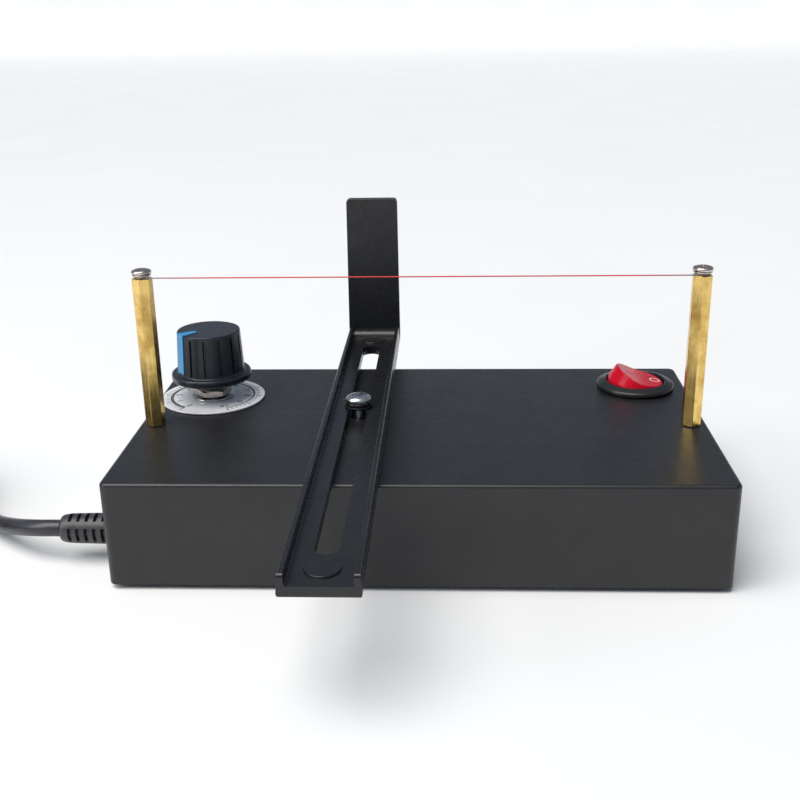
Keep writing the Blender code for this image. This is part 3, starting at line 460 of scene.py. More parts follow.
def combine(obj, other, operation="DIFFERENCE"):
    """Cuts, joins or crosses two solids at once, and removes the second."""
    step = obj.modifiers.new("step", "BOOLEAN")
    step.operation = operation
    step.solver = "EXACT"
    step.object = other
    mesh = to_mesh(obj)
    obj.modifiers.clear()
    obj.data = mesh
    bpy.data.objects.remove(other, do_unlink=True)
    return obj


def drill(obj, radius, length, matrix, sides=48):
    """Cuts a round hole along the matrix's Z."""
    return combine(obj, cylinder("hole", radius, length, matrix, sides))


def join(objects):
    """Several objects' meshes in the first one, which is a mesh."""
    bm = bmesh.new()
    for obj in objects:
        mesh = to_mesh(obj)
        mesh.transform(obj.matrix_world)
        bm.from_mesh(mesh)
    first = objects[0]
    for obj in objects[1:]:
        bpy.data.objects.remove(obj, do_unlink=True)
    mesh = bpy.data.meshes.new(first.name)
    bm.to_mesh(mesh)
    bm.free()
    first.data = mesh
    return first


def bevelled(obj, width, segments=2, degrees=50):
    step = obj.modifiers.new("edge", "BEVEL")
    step.width = width
    step.segments = segments
    step.limit_method = "ANGLE"
    step.angle_limit = math.radians(degrees)
    step.use_clamp_overlap = False
    return obj


def round_line(name, points, radius, resolution):
    """A curve of short straight stretches with a round section and filled ends."""
    curve = bpy.data.curves.new(name, "CURVE")
    curve.dimensions = "3D"
    curve.bevel_depth = radius
    curve.bevel_resolution = resolution
    curve.use_fill_caps = True
    spline = curve.splines.new("POLY")
    spline.points.add(len(points) - 1)
    for knot, place in zip(spline.points, points):
        knot.co = (*place, 1)
    return in_scene(bpy.data.objects.new(name, curve))


def arc(radius, start, end, steps=8):
    """Points on a circle round the middle, from start to end in degrees."""
    turns = [math.radians(start + (end - start) * step / steps) for step in range(steps + 1)]
    return [(radius * math.cos(a), radius * math.sin(a)) for a in turns]


def smooth_route(route, spacing):
    """Points a set distance apart on a smooth curve through the route's own points."""
    knots = [Vector(point) for point in route]
    ends = [2 * knots[0] - knots[1]] + knots + [2 * knots[-1] - knots[-2]]
    fine = []
    for before, start, end, after in zip(ends, ends[1:], ends[2:], ends[3:]):
        for step in range(20):
            t = step / 20
            fine.append(0.5 * (2 * start + (end - before) * t
                               + (2 * before - 5 * start + 4 * end - after) * t * t
                               + (3 * start - before - 3 * end + after) * t ** 3))
    fine.append(knots[-1])
    points = [fine[0]]
    for point in fine:
        if (point - points[-1]).length >= spacing:
            points.append(point)
    points[-1] = fine[-1]
    return points


# ---------------------------------------------------------------- mains lead
COIL_LOW, COIL_HIGH, COIL_MIDDLE = span("cord_coil")
COIL_MIDDLE.z = 0
COIL_OUTER = (COIL_HIGH.x - COIL_LOW.x) / 2
COLUMNS = [COIL_OUTER - CORD_RADIUS * (5 - 2 * column) for column in range(3)]
LAYERS = [COIL_LOW.z + CORD_RADIUS * (1 + 2 * layer) for layer in range(3)]
BESIDE = COIL_OUTER + 0.8 * GAP + CORD_RADIUS
LEAD_FLOOR = CORD_RADIUS + 0.0002
COIL_ENTRY = 25.0
COIL_LEAVE = 200.0
COIL_STEP = 7.5
TIE_ANGLE = -60.0
TIE_WIDTH = 0.0080
TIE_THICK = 0.0008
PLUG_TURN = 12.0
PLUG_BACK = Vector((-0.1925, -0.0420, 0.0071))
PLUG_ALONG = Vector((math.sin(math.radians(PLUG_TURN)), -math.cos(math.radians(PLUG_TURN)), 0))

# listed route from the strain relief to the coil, counted from the exit
CORD_ROUTE = [
    (-0.0030, 0.0, 0.0),
    (-0.0060, 0.0004, -0.0002),
    (-0.0110, 0.0024, -0.0011),
    (-0.0172, 0.0066, -0.0028),
    (-0.0238, 0.0126, -0.0048),
    (-0.0305, 0.0208, -0.0066),
    (-0.0366, 0.0300, -0.0071),
]
# and from the coil to the plug
TAIL_ROUTE = [
    (-0.2035, -0.0155, 0.0028),
    (-0.1990, -0.0245, 0.0045),
]

# where the winding moves to the next column or layer: from and to in degrees along it,
# then the column and the layer it reaches (column 3 lies against the coil's outside)
WINDING = [
    (25, 115, 2, 0),
    (312, 402, 1, 0),
    (672, 762, 0, 0),
    (982, 1072, 0, 1),
    (1292, 1382, 1, 1),
    (1652, 1742, 2, 1),
    (1967, 2057, 2, 2),
    (2215, 2290, 3, 2),
    (2270, 2360, 3, -1),
]


def coil_point(angle):
    """The winding's place at an angle in degrees along it."""
    reaches = COLUMNS + [BESIDE]
    heights = LAYERS + [LEAD_FLOOR]
    reach = BESIDE
    height = LEAD_FLOOR
    for start, end, column, layer in WINDING:
        t = min(1.0, max(0.0, (angle - start) / (end - start)))
        share = t * t * (3 - 2 * t)
        reach += (reaches[column] - reach) * share
        height += (heights[layer] - height) * share
    around = math.radians(angle)
    return COIL_MIDDLE + Vector((reach * math.cos(around), reach * math.sin(around), height))


def power_cord():
    """The whole lead on one line: from the strain relief, round the coil and to the plug."""
    start = coil_point(COIL_ENTRY)
    route = [CORD_EXIT + Vector(step) for step in CORD_ROUTE] + [start]
    points = [CORD_EXIT - Vector((GAP, 0, 0))] + smooth_route(route, 0.0020)
    last_turn = COIL_LEAVE + 6 * 360
    angle = COIL_ENTRY + COIL_STEP
    while angle < last_turn:
        points.append(coil_point(angle))
        angle += COIL_STEP
    tail = [coil_point(last_turn)] + [Vector(place) for place in TAIL_ROUTE]
    tail += [PLUG_BACK - 0.0090 * PLUG_ALONG, PLUG_BACK - GAP * PLUG_ALONG]
    points += smooth_route(tail, 0.0020)
    cord = round_line("power_cord_sheath", points, CORD_RADIUS, 4)
    cord.data.splines[0].use_smooth = True
    cord.data.materials.append(MATERIALS["cord"])
    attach(cord, "case")
    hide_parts("power_cord", "cord_coil", "cord_tail")
    return cord


def strain_relief():
    """Rubber sleeve with four rows of slots, a rounded nose and a groove for the case wall."""
    nose = RELIEF_LOW.x
    outer = CASE_LOW.x - GAP - nose
    inner = CASE_LOW.x + WALL + GAP - nose
    tail = RELIEF_HIGH.x - nose
    radius = 0.0042
    root = 0.0032
    profile = softened([(0.0, 0.0), (radius - 0.0006, 0.0), (radius - 0.0001, 0.0026),
                        (radius + 0.0002, outer)], 0.0011, 5, closed=False)
    profile += [(root, outer), (root, inner)]
    profile += softened([(root, inner), (radius + 0.0004, inner), (radius, tail), (0.0, tail)],
                        0.0004, 2, closed=False)[1:]
    place = (nose, RELIEF.y, RELIEF.z)
    sleeve = turned("strain_relief_sleeve", profile, place, 72, matrix=turn_about("Y", 90))
    first_slot = 0.0032
    pitch = 0.00235
    slot_wide = 0.0010
    depth = 0.0012
    # the outline's x becomes -Y and its y becomes Z, so that row 0 faces the front
    facing = Matrix(((0, 0, 1, 0), (-1, 0, 0, 0), (0, 1, 0, 0), (0, 0, 0, 1)))
    for row in range(4):
        # each slot is a short arc of a ring, cut down to depth
        outline = arc(radius + 0.001, 90.0 * row - 39.0, 90.0 * row + 23.0)
        outline += arc(radius - depth, 90.0 * row + 23.0, 90.0 * row - 39.0)
        for index in range(5):
            spot = shift((nose + first_slot + pitch * index, RELIEF.y, RELIEF.z))
            combine(sleeve, prism("slot", outline, slot_wide, spot @ facing))
    return piece(sleeve, "case", "relief", ["strain_relief"])


def cord_tie():
    """A soft band pulled tight round the coil's turns."""
    centres = [(COLUMNS[0] - 0.0005, LAYERS[0]), (COLUMNS[2], LAYERS[0]), (COLUMNS[2], LAYERS[2]),
               (COLUMNS[0] - 0.0005, LAYERS[1])]

    def belt(radius):
        points = []
        for step in range(48):
            a = 2 * math.pi * step / 48
            far = max(centres, key=lambda c: c[0] * math.cos(a) + c[1] * math.sin(a))
            points.append((far[0] + radius * math.cos(a), far[1] + radius * math.sin(a)))
        return points

    inner = CORD_RADIUS + 0.00025
    upright = shift(COIL_MIDDLE) @ turn_about("Z", TIE_ANGLE) @ turn_about("X", 90)
    band = prism("cord_tie_band", belt(inner + TIE_THICK), TIE_WIDTH, upright)
    combine(band, prism("inside", belt(inner), 2 * TIE_WIDTH, upright))
    bevelled(band, 0.0002)
    return piece(band, "case", "tie", ["cord_tie"])


def plug_pieces():
    """Two-pin plug: a body that narrows to its sleeve, with finger grooves, and two pins."""
    length = 0.0350
    thick = 0.0137
    half = 0.0345 / 2
    shoulder = 0.0200
    place = shift(PLUG_BACK) @ turn_about("Z", PLUG_TURN)
    outline = softened([(-0.0055, 0), (0.0055, 0), (half, -shoulder), (half, -length),
                        (-half, -length), (-half, -shoulder)], 0.0040, 5)
    body = prism("plug_shell", outline, thick, place)
    bevelled(body, 0.0022, 4)
    body.data = to_mesh(body)
    body.modifiers.clear()
    for side in (-1, 1):
        for index in range(3):
            spot = place @ Vector((side * (half + 0.0002), -0.0235 - 0.0036 * index, 0))
            drill(body, 0.0008, thick * 0.62, shift(spot), 20)
    piece(body, "case", "case", ["plug_body"])
    reach = 0.0190
    radius = 0.0020
    profile = [(0.0, 0.0), (radius, 0.0), (radius, 0.0070), (radius - 0.00025, 0.0072),
               (radius - 0.00025, 0.0075), (radius, 0.0077)]
    profile += softened([(radius, 0.0077), (radius, reach - 0.0012), (radius * 0.55, reach),
                         (0.0, reach)], 0.0006, 4, closed=False)[1:]
    pins = []
    for side, x in (("left", -0.0093), ("right", 0.0093)):
        node = f"plug_pin_{side}"
        start = place @ Vector((x, -length - 0.00015, 0))
        pin = turned(node + "_fine", profile, start, 40,
                     matrix=turn_about("Z", PLUG_TURN) @ turn_about("X", 90))
        pins.append(piece(pin, "case", "nickel", [node]))
    return [body] + pins


def declare_cord():
    """Builds the lead first, then the strain relief, the cord tie and the plug."""
    cord = power_cord()
    others = [strain_relief(), cord_tie()] + plug_pieces()


# ---------------------------------------------------------------- fasteners
def plus_cutter(place, reach, width, depth, degrees):
    """A cross recess that narrows towards its bottom."""
    w = width / 2
    outline = [(reach, -w), (reach, w), (w, w), (w, reach), (-w, reach), (-w, w), (-reach, w),
               (-reach, -w), (-w, -w), (-w, -reach), (w, -reach), (w, -w)]
    cutter = prism("recess", outline, 2 * depth)
    for vertex in cutter.data.vertices:
        if vertex.co.z < 0:
            vertex.co.x *= 0.62
            vertex.co.y *= 0.62
    cutter.data.transform(shift(place) @ turn_about("Z", degrees))
    return cutter


def head_profile(radius, height):
    """A pan head from the middle of its top down to its underside."""
    points = []
    for step in range(10):
        a = math.pi / 2 * step / 9
        points.append((radius * math.sin(a), height * (0.34 + 0.66 * math.cos(a) ** 0.8)))
    points += [(radius, height * 0.14), (radius - height * 0.08, 0.0)]
    return points


def thread_profile(radius, depth, pitch, start, end):
    """Ridges down a shank, from start to end."""
    points = []
    height = start
    while height - pitch > end:
        points += [(radius - depth, height), (radius, height - pitch * 0.4),
                   (radius, height - pitch * 0.55), (radius - depth, height - pitch * 0.95)]
        height -= pitch
    return points


def pan_screw(node, body, material, head, height, shank, pitch, degrees, flip=False):
    """A cross-recess pan-head screw in the place of a node, with its head up, or down if flip."""
    low, high, middle = span(node)
    length = high.z - low.z - height
    profile = head_profile(head, height) + [(shank, 0.0), (shank, -0.0004)]
    profile += thread_profile(shank, pitch * 0.26, pitch, -0.0005, 0.0007 - length)
    profile += [(shank - pitch * 0.3, 0.0004 - length), (shank - 0.0005, -length), (0.0, -length)]
    screw = turned(node + "_fine", profile, (0, 0, 0), 56)
    combine(screw, plus_cutter(Vector((0, 0, height)), head * 0.60, head * 0.28, height * 0.75,
                               degrees))
    if flip:
        screw.data.transform(turn_about("X", 180))
        screw.data.transform(shift((middle.x, middle.y, low.z + height)))
    else:
        screw.data.transform(shift((middle.x, middle.y, high.z - height)))
    bevelled(screw, 0.00006)
    return piece(screw, body, material, [node])


def washer(node, inner, outer, edge=0.00012, steps=64):
    """A flat ring in the place of a node, not painted yet."""
    low, high, middle = span(node)
    half = (high.z - low.z) / 2
    profile = softened([(inner, half), (outer, half), (outer, -half), (inner, -half)], edge, 3)
    return turned(node + "_fine", profile, middle, steps, ring=True)


def ring(node, body, material, inner, outer):
    piece(washer(node, inner, outer), body, material, [node])


def hex_nut(node, body, material, flats, bore, degrees):
    """A hexagon nut with its corners turned off at both ends."""
    low, high, middle = span(node)
    height = high.z - low.z
    corner = flats / math.sqrt(3)
    nut = cylinder(node + "_fine", corner, height,
                   shift(middle) @ turn_about("Z", degrees), 6)
    half = height / 2
    chamfer = (corner - flats / 2) * 0.6
    spindle = [(0.0, half), (flats / 2 * 0.97, half), (corner * 1.02, half - chamfer),
               (corner * 1.02, chamfer - half), (flats / 2 * 0.97, -half), (0.0, -half)]
    combine(nut, turned("spindle", spindle, middle, 72), "INTERSECT")
    drill(nut, bore, 2 * height, shift(middle))
    bevelled(nut, 0.00008)
    return piece(nut, body, material, [node])


# ---------------------------------------------------------------- case
def case_shell():
    """Moulded case: thin rounded edges, four walls, and a boss in each corner."""
    size = CASE_HIGH - CASE_LOW
    bm = cuboid(size)
    upright = [e for e in bm.edges if abs(e.verts[0].co.z - e.verts[1].co.z) > size.z / 2]
    bmesh.ops.bevel(bm, geom=upright, offset=0.0022, segments=8, profile=0.5, affect="EDGES")
    rim = [e for e in bm.edges if min(v.co.z for v in e.verts) > size.z / 2 - 1e-5]
    bmesh.ops.bevel(bm, geom=rim, offset=0.0010, segments=5, profile=0.5, affect="EDGES")
    floor = [f for f in bm.faces if all(v.co.z < -size.z / 2 + 1e-5 for v in f.verts)]
    bmesh.ops.delete(bm, geom=floor, context="FACES")
    shell = from_bmesh("case_moulding", bm, shift(CASE_MIDDLE))
    wall = shell.modifiers.new("wall", "SOLIDIFY")
    wall.thickness = WALL
    wall.offset = -1.0
    wall.use_even_offset = True
    ceiling = TOP - WALL
    low = PLATE_HIGH + GAP
    for index in range(4):
        spot = node_middle(f"bottom_screw_{index + 1}")
        high = ceiling + 0.0005
        boss = cylinder("boss", 0.0034, high - low,
                        shift((spot.x, spot.y, (high + low) / 2)), 32)
        combine(shell, boss, "UNION")
        drill(shell, 0.0016, 0.010, shift((spot.x, spot.y, low + 0.0045)), 24)
    panel = TOP - WALL / 2
    holes = [(POSTS["left"], 0.0018), (POSTS["right"], 0.0018), (CLAMP, 0.0023), (KNOB, 0.0039),
             (SWITCH, 0.0101)]
    for spot, radius in holes:
        drill(shell, radius, 4 * WALL, shift((spot.x, spot.y, panel)), 56)
    drill(shell, 0.0035, 4 * WALL, shift((CASE_LOW.x, RELIEF.y, RELIEF.z)) @ turn_about("Y", 90))
    return piece(shell, "case", "case", ["case_shell"])


def feet():
    """Rubber bumpers with a rounded rim and a dimple."""
    for index in range(4):
        node = f"foot_{index + 1}"
        low, high, spot = span(node)
        radius = (high.x - low.x) / 2
        profile = softened([(0.0, high.z), (radius, high.z), (radius, 0.0), (radius * 0.5, 0.0),
                            (radius * 0.38, 0.0004), (0.0, 0.0004)], 0.0005, 4, closed=False)
        foot = turned(node + "_fine", profile, (spot.x, spot.y, 0), 56)
        piece(foot, "case", "rubber", [node])


def bottom_screws():
    for index in range(4):
        pan_screw(f"bottom_screw_{index + 1}", "case", "zinc", 0.0027, 0.0009, 0.0013,
                  0.0006, 20 * index, flip=True)


# ---------------------------------------------------------------- posts and wire
POST_FLATS = 0.0050
POST_DEGREES = {"left": -7.5, "right": -3.0}


def post(side):
    """A drawn hexagon post with turned ends and a tapped bore at each."""
    spot = POSTS[side]
    height = POST_HIGH - POST_LOW
    corner = POST_FLATS / math.sqrt(3)
    bar = cylinder(f"{side}_post_fine", corner, height,
                   shift(spot) @ turn_about("Z", POST_DEGREES[side]), 6)
    bevelled(bar, 0.00012, 2, 40)
    half = height / 2
    chamfer = 0.00022
    spindle = [(0.0, half), (corner - chamfer * 1.6, half), (corner * 1.05, half - chamfer * 1.6),
               (corner * 1.05, -half), (0.0, -half)]
    combine(bar, turned("spindle", spindle, spot, 72), "INTERSECT")
    for end in (POST_HIGH, POST_LOW):
        drill(bar, 0.0017, 0.0180, shift((spot.x, spot.y, end)), 32)
    return piece(bar, "case", "brass", [f"{side}_post"])


def terminal(side, degrees):
    """The washer and screw that hold the wire on top of a post, and the screw that holds it."""
    ring(f"{side}_wire_washer", "case", "nickel", 0.0017, 0.0026)
    pan_screw(f"{side}_wire_screw", f"{side}_terminal", "nickel", 0.0028, 0.0014, 0.0015,
              0.0005, degrees)
    ring(f"{side}_ring_terminal", "case", "zinc", 0.0018, 0.0025)
    pan_screw(f"{side}_post_screw", "case", "zinc", 0.0024, 0.0018, 0.0015, 0.0005, 30,
              flip=True)


def cutting_wire():
    """Resistance wire pulled straight, hooked round the shank of each terminal screw."""
    low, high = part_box("cutting_wire")
    radius = (high.z - low.z) / 2
    level = (high.z + low.z) / 2
    loop = high.x - radius - POSTS["right"].x
    points = []
    for sign, side in ((-1, "left"), (1, "right")):
        middle = POSTS[side]
        bend = [(middle.x + x, middle.y + y, level) for x, y in arc(loop, sign * 240 - 90, -90, 32)]
        points += bend if sign < 0 else bend[::-1]
    line = round_line("wire", points, radius, 3)
    wire = in_scene(bpy.data.objects.new("cutting_wire_fine", to_mesh(line)))
    bpy.data.objects.remove(line, do_unlink=True)
    return piece(wire, "case", "wire", ["cutting_wire"])


# ---------------------------------------------------------------- stop and clamp
STOP_LOW, STOP_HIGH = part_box("stop_bracket")
STOP_X = (STOP_LOW.x + STOP_HIGH.x) / 2
STOP_HALF = (STOP_HIGH.x - STOP_LOW.x) / 2
TOP_HALF = STOP_HALF - 0.00035
CHANNEL_HIGH = 0.0056
WEB = 0.0027
FLANGE = 0.0013
LEG_THICK = 0.0027
SLOT_HALF = 0.00285


def channel_section():
    """The U section, as (x, z) from the middle of its underside."""
    inner = TOP_HALF - FLANGE
    half = [(STOP_HALF, 0.0), (TOP_HALF, CHANNEL_HIGH), (inner, CHANNEL_HIGH),
            (inner - 0.0001, WEB)]
    radii = [0.0011, 0.00045, 0.0003, 0.0004]
    corners = half + [(-x, z) for x, z in reversed(half)]
    return eased(corners, radii + radii[::-1], 5)


def stop_bracket():
    """U-channel with a long slot and an upturned leg, all edges eased."""
    front = STOP_LOW.y
    rear = STOP_HIGH.y
    low = STOP_LOW.z
    base = shift((STOP_X, (front + rear) / 2, low)) @ turn_about("X", 90)
    bracket = prism("stop_moulding", channel_section(), rear - front, base)

    leg_high = STOP_HIGH.z - low
    leg_outline = softened([(-STOP_HALF, 0.0004), (STOP_HALF, 0.0004), (TOP_HALF, leg_high),
                            (-TOP_HALF, leg_high)], 0.0016, 6)
    leg_place = shift((STOP_X, rear - LEG_THICK / 2, low)) @ turn_about("X", 90)
    combine(bracket, prism("leg", leg_outline, LEG_THICK, leg_place), "UNION")

    # concave fillet between the web and the leg, as a sliver with a curved face
    fillet = 0.0026
    root = -0.0004
    curved = [(fillet - y, fillet - x) for x, y in arc(fillet, 0, 90, 12)]
    sliver = [(root, root), (fillet, root)] + curved + [(root, fillet)]
    mirrored = [(-x, z) for x, z in reversed(sliver)]
    side_on = shift((STOP_X, rear - LEG_THICK, low + WEB)) @ turn_about(
        "Z", 90) @ turn_about("X", 90)
    combine(bracket, prism("fillet", mirrored, 2 * (TOP_HALF - FLANGE), side_on), "UNION")

    # low round pads near both ends of the channel
    for reach in (front + 0.0075, rear - LEG_THICK - 0.0075):
        pad = softened([(0.0, 0.0004), (0.0040, 0.0004), (0.0041, -0.0004), (0.0, -0.0004)], 0.00022,
                       4, closed=False)
        combine(bracket, turned("pad", pad, (STOP_X, reach, low + WEB), 64), "UNION")

    slot_front = CLAMP.y - 0.0916 + SLOT_HALF
    slot_rear = CLAMP.y + 0.0594 - SLOT_HALF
    outline = [(x, slot_rear + y) for x, y in arc(SLOT_HALF, 0, 180, 20)]
    outline += [(-x, slot_front + slot_rear - y) for x, y in outline]
    combine(bracket, prism("slot", outline, 6 * WEB, shift((STOP_X, 0, low + WEB / 2))))

    # side view of the whole bracket, as (y, z), whose round corners ease both ends
    flange_high = low + CHANNEL_HIGH
    side_view = [(front, low), (rear, low), (rear, STOP_HIGH.z), (rear - LEG_THICK, STOP_HIGH.z),
                 (rear - LEG_THICK, flange_high), (front, flange_high)]
    outline = eased(side_view, [0.0007, 0.0016, 0.0005, 0.0005, 0.0, 0.0013], 6)
    across = Matrix(((0, 0, 1, STOP_X), (1, 0, 0, 0), (0, 1, 0, 0), (0, 0, 0, 1)))
    combine(bracket, prism("side_view", outline, 4 * STOP_HALF, across), "INTERSECT")
    return piece(bracket, "stop", "stop", ["stop_bracket"], 30)


def clamp_hardware():
    ring("clamp_washer", "stop_pivot", "dark_steel", 0.0023, 0.0040)
    lock = washer("clamp_lock_washer", 0.0022, 0.0036, 0.0001)
    split = shift(node_middle("clamp_lock_washer") + Vector((0, -0.0030, 0))) @ turn_about("Y", 35)
    combine(lock, block("split", (0.0004, 0.0030, 0.0030), split))
    piece(lock, "clamp", "dark_steel", ["clamp_lock_washer"])
    pan_screw("clamp_screw", "clamp", "zinc", 0.0038, 0.0025, 0.0020, 0.0007, 12)
    hex_nut("clamp_nut", "case", "zinc", 0.0070, 0.0022, 0)


# ---------------------------------------------------------------- dial and potentiometer
DIAL_RADIUS = 0.0159
ARC_RADIUS = 0.01265
TICK_RADIUS = 0.01345
NUMBER_RADIUS = 0.0106
SCALE_START = 239.0     # degrees round the dial, at the scale's lowest value
SCALE_SPAN = 300.0


def dial_plate():
    plate = washer("dial_plate", 0.0041, DIAL_RADIUS, 0.00015, 144)
    piece(plate, "case", "dial", ["dial_plate"])
    dial_print(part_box("dial_plate")[1].z)


def dial_print(face):
    """A widening arc, fine ticks and the numbers 0 to 10, as thin ink on the dial."""
    ink = 0.00004
    level = face + ink / 2 + 0.00001

    def at(degrees, reach):
        a = math.radians(degrees)
        return Vector((KNOB.x + reach * math.cos(a), KNOB.y + reach * math.sin(a), level))

    outer = []
    inner = []
    for step in range(91):
        share = step / 90
        degrees = SCALE_START - SCALE_SPAN * share
        width = 0.00110 - 0.00080 * share
        outer.append(at(degrees, ARC_RADIUS + width / 2).xy)
        inner.append(at(degrees, ARC_RADIUS - width / 2).xy)
    shapes = [prism("dial_marks", outer + inner[::-1], ink, shift((0, 0, level)))]
    for index in range(51):
        degrees = SCALE_START - SCALE_SPAN * index / 50
        big = index % 5 == 0
        length = 0.0014 if big else 0.0009
        wide = 0.00034 if big else 0.00020
        spot = shift(at(degrees, TICK_RADIUS + length / 2)) @ turn_about("Z", degrees)
        shapes.append(block("tick", (length, wide, ink), spot))
    for number in range(11):
        degrees = SCALE_START - SCALE_SPAN * number / 10
        text = bpy.data.curves.new("number", "FONT")
        text.body = str(number)
        text.size = 0.0027
        text.align_x = "CENTER"
        text.align_y = "CENTER"
        text.extrude = ink / 2
        obj = bpy.data.objects.new("number", text)
        obj.matrix_world = shift(at(degrees, NUMBER_RADIUS)) @ turn_about("Z", degrees - 90)
        shapes.append(in_scene(obj))
    bpy.context.view_layer.update()
    marks = join(shapes)
    piece(marks, "case", "print")


def potentiometer():
    """Body under the panel with a threaded bushing, and what clamps it there."""
    ceiling = TOP - WALL
    low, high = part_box("potentiometer_body")
    bushing = 0.0036
    bore = 0.0022
    body_high = ceiling - 0.00015
    profile = [(bore, high.z), (bushing - 0.0003, high.z)]
    profile += thread_profile(bushing, 0.0002, 0.0006, high.z - 0.0001, TOP + 0.0002)
    profile += [(bushing, TOP), (bushing, body_high)]
    profile += softened([(bushing, body_high), (0.0082, body_high), (0.0082, low.z), (bore, low.z)],
                        0.0004, 3, closed=False)[1:]
    body = turned("potentiometer_case", profile, (KNOB.x, KNOB.y, 0), 72, ring=True)
    for index in range(3):
        spot = shift((KNOB.x + 0.0045 * (index - 1), KNOB.y - 0.0095,
                                   body_high - 0.0040))
        combine(body, block("lug", (0.0014, 0.0060, 0.0006), spot, 0.0002), "UNION")
    piece(body, "case", "zinc", ["potentiometer_body"])
    ring("potentiometer_washer", "case", "zinc", 0.0038, 0.0064)
    hex_nut("potentiometer_nut", "case", "nickel", 0.0100, 0.0038, 42)


# ---------------------------------------------------------------- knob
KNOB_LOW, KNOB_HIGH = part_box("control_knob")
KNOB_TOP_RADIUS = 0.0095
KNOB_FOOT_RADIUS = 0.0102
KNOB_FLANGE_RADIUS = 0.0121
FLANGE_TOP = KNOB_LOW.z + 0.0024
FLUTES = 14
POINTER_DEGREES = -139.0
POINTER_WIDTH = 0.0032


def pointer_solid(name, grow):
    """The pointer's strip: down the side of the knob at full width, narrower on its top."""
    high = KNOB_HIGH.z + 0.0002
    inner = 0.0041
    low = FLANGE_TOP + 0.0008
    side = [(inner - grow, high + grow), (KNOB_TOP_RADIUS + 0.0002 + grow, high + grow),
            (KNOB_FOOT_RADIUS + 0.0001 + grow, low - grow),
            (KNOB_FOOT_RADIUS - 0.0008 - grow, low - grow),
            (KNOB_TOP_RADIUS - 0.0008 - grow, high - 0.0010 - grow),
            (inner - grow, high - 0.0010 - grow)]
    shape = softened(side, 0.00025, 3)
    upright = shift((KNOB.x, KNOB.y, 0)) @ turn_about(
        "Z", POINTER_DEGREES) @ turn_about("X", 90)
    strip = prism(name, shape, POINTER_WIDTH + 2 * grow, upright)
    half = POINTER_WIDTH / 2 + grow
    tip = 0.0007 + grow
    plan = [(inner - grow, -tip), (KNOB_TOP_RADIUS - 0.0012, -half), (0.0130, -half), (0.0130, half),
            (KNOB_TOP_RADIUS - 0.0012, half), (inner - grow, tip)]
    flat = shift((KNOB.x, KNOB.y, (high + low) / 2)) @ turn_about("Z", POINTER_DEGREES)
    return combine(strip, prism("plan", softened(plan, 0.0003, 3), 2 * (high - low), flat),
                   "INTERSECT")


def control_knob():
    """Tapered knob with thin grooves, a rounded flange and a pointer let into it."""
    top = KNOB_HIGH.z
    bottom = KNOB_LOW.z
    rim = softened([(0.0, top), (KNOB_TOP_RADIUS, top), (KNOB_FOOT_RADIUS, FLANGE_TOP)], 0.00045, 5,
                   closed=False)[:-1]
    root = softened([(KNOB_TOP_RADIUS, top - 0.001), (KNOB_FOOT_RADIUS, FLANGE_TOP),
                     (KNOB_FLANGE_RADIUS, FLANGE_TOP - 0.0001)], 0.0004, 4, closed=False)[1:-1]
    lip = softened([(KNOB_FOOT_RADIUS + 0.0005, FLANGE_TOP - 0.0001),
                    (KNOB_FLANGE_RADIUS, FLANGE_TOP - 0.0001), (KNOB_FLANGE_RADIUS, bottom),
                    (0.0034, bottom)], 0.0008, 6, closed=False)[1:]
    profile = rim + root + lip + [(0.0034, top - 0.0036), (0.0, top - 0.0036)]
    knob = turned("control_knob_fine", profile, (KNOB.x, KNOB.y, 0), 140)
    lean = math.atan2(KNOB_FOOT_RADIUS - KNOB_TOP_RADIUS, top - FLANGE_TOP)
    groove_high = top - 0.0011
    groove_low = FLANGE_TOP + 0.0004
    reach = (KNOB_TOP_RADIUS + KNOB_FOOT_RADIUS) / 2 - 0.0001
    for index in range(1, FLUTES):
        degrees = POINTER_DEGREES + 360.0 * index / FLUTES
        a = math.radians(degrees)
        spot = Vector((KNOB.x + reach * math.cos(a), KNOB.y + reach * math.sin(a),
                       (groove_high + groove_low) / 2))
        tilt = shift(spot) @ Euler((0, -lean, a)).to_matrix().to_4x4()
        combine(knob, block("groove", (0.0013, 0.0008, groove_high - groove_low), tilt, 0.0003))
    combine(knob, pointer_solid("seat", 0.00006))
    piece(knob, "knob", "knob", ["control_knob"])
    pointer = pointer_solid("knob_pointer_fine", 0.0)
    piece(pointer, "knob", "pointer", ["knob_pointer"])


# ---------------------------------------------------------------- rocker switch
ROCKER_RADIUS = 0.0086
ROCKER_HEIGHT = 0.0021
ROCKER_SLOPE = 0.23
DISH_ROUND = 0.0030
ROCKER_TILT = 20.0
ROCKER = shift((SWITCH.x, SWITCH.y, TOP + 0.0012)) @ turn_about("Y", ROCKER_TILT)


def dish_height(x):
    """Height of the rocker's hollow top, above its pivot."""
    return ROCKER_HEIGHT + ROCKER_SLOPE * (math.hypot(x, DISH_ROUND) - 0.0016)


def switch_body():
    """Round bezel with a rolled edge and a barrel below the panel."""
    low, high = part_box("switch_body")
    outer = (high.x - low.x) / 2
    opening = ROCKER_RADIUS + 0.0003
    barrel = 0.0098
    inner_rim = TOP + 0.0026
    outer_rim = TOP + 0.0017
    bezel = softened([(opening, TOP - 0.0040), (opening, inner_rim), (opening + 0.0006, inner_rim),
                      (outer, outer_rim), (outer, TOP + GAP), (barrel, TOP + GAP)], 0.0006, 6,
                     closed=False)
    profile = bezel + [(barrel, low.z), (0.0, low.z), (0.0, TOP - 0.0088),
                       (opening, TOP - 0.0088)]
    body = turned("switch_housing", profile, (SWITCH.x, SWITCH.y, 0), 120, ring=True)
    return piece(body, "case", "switch", ["switch_body"])


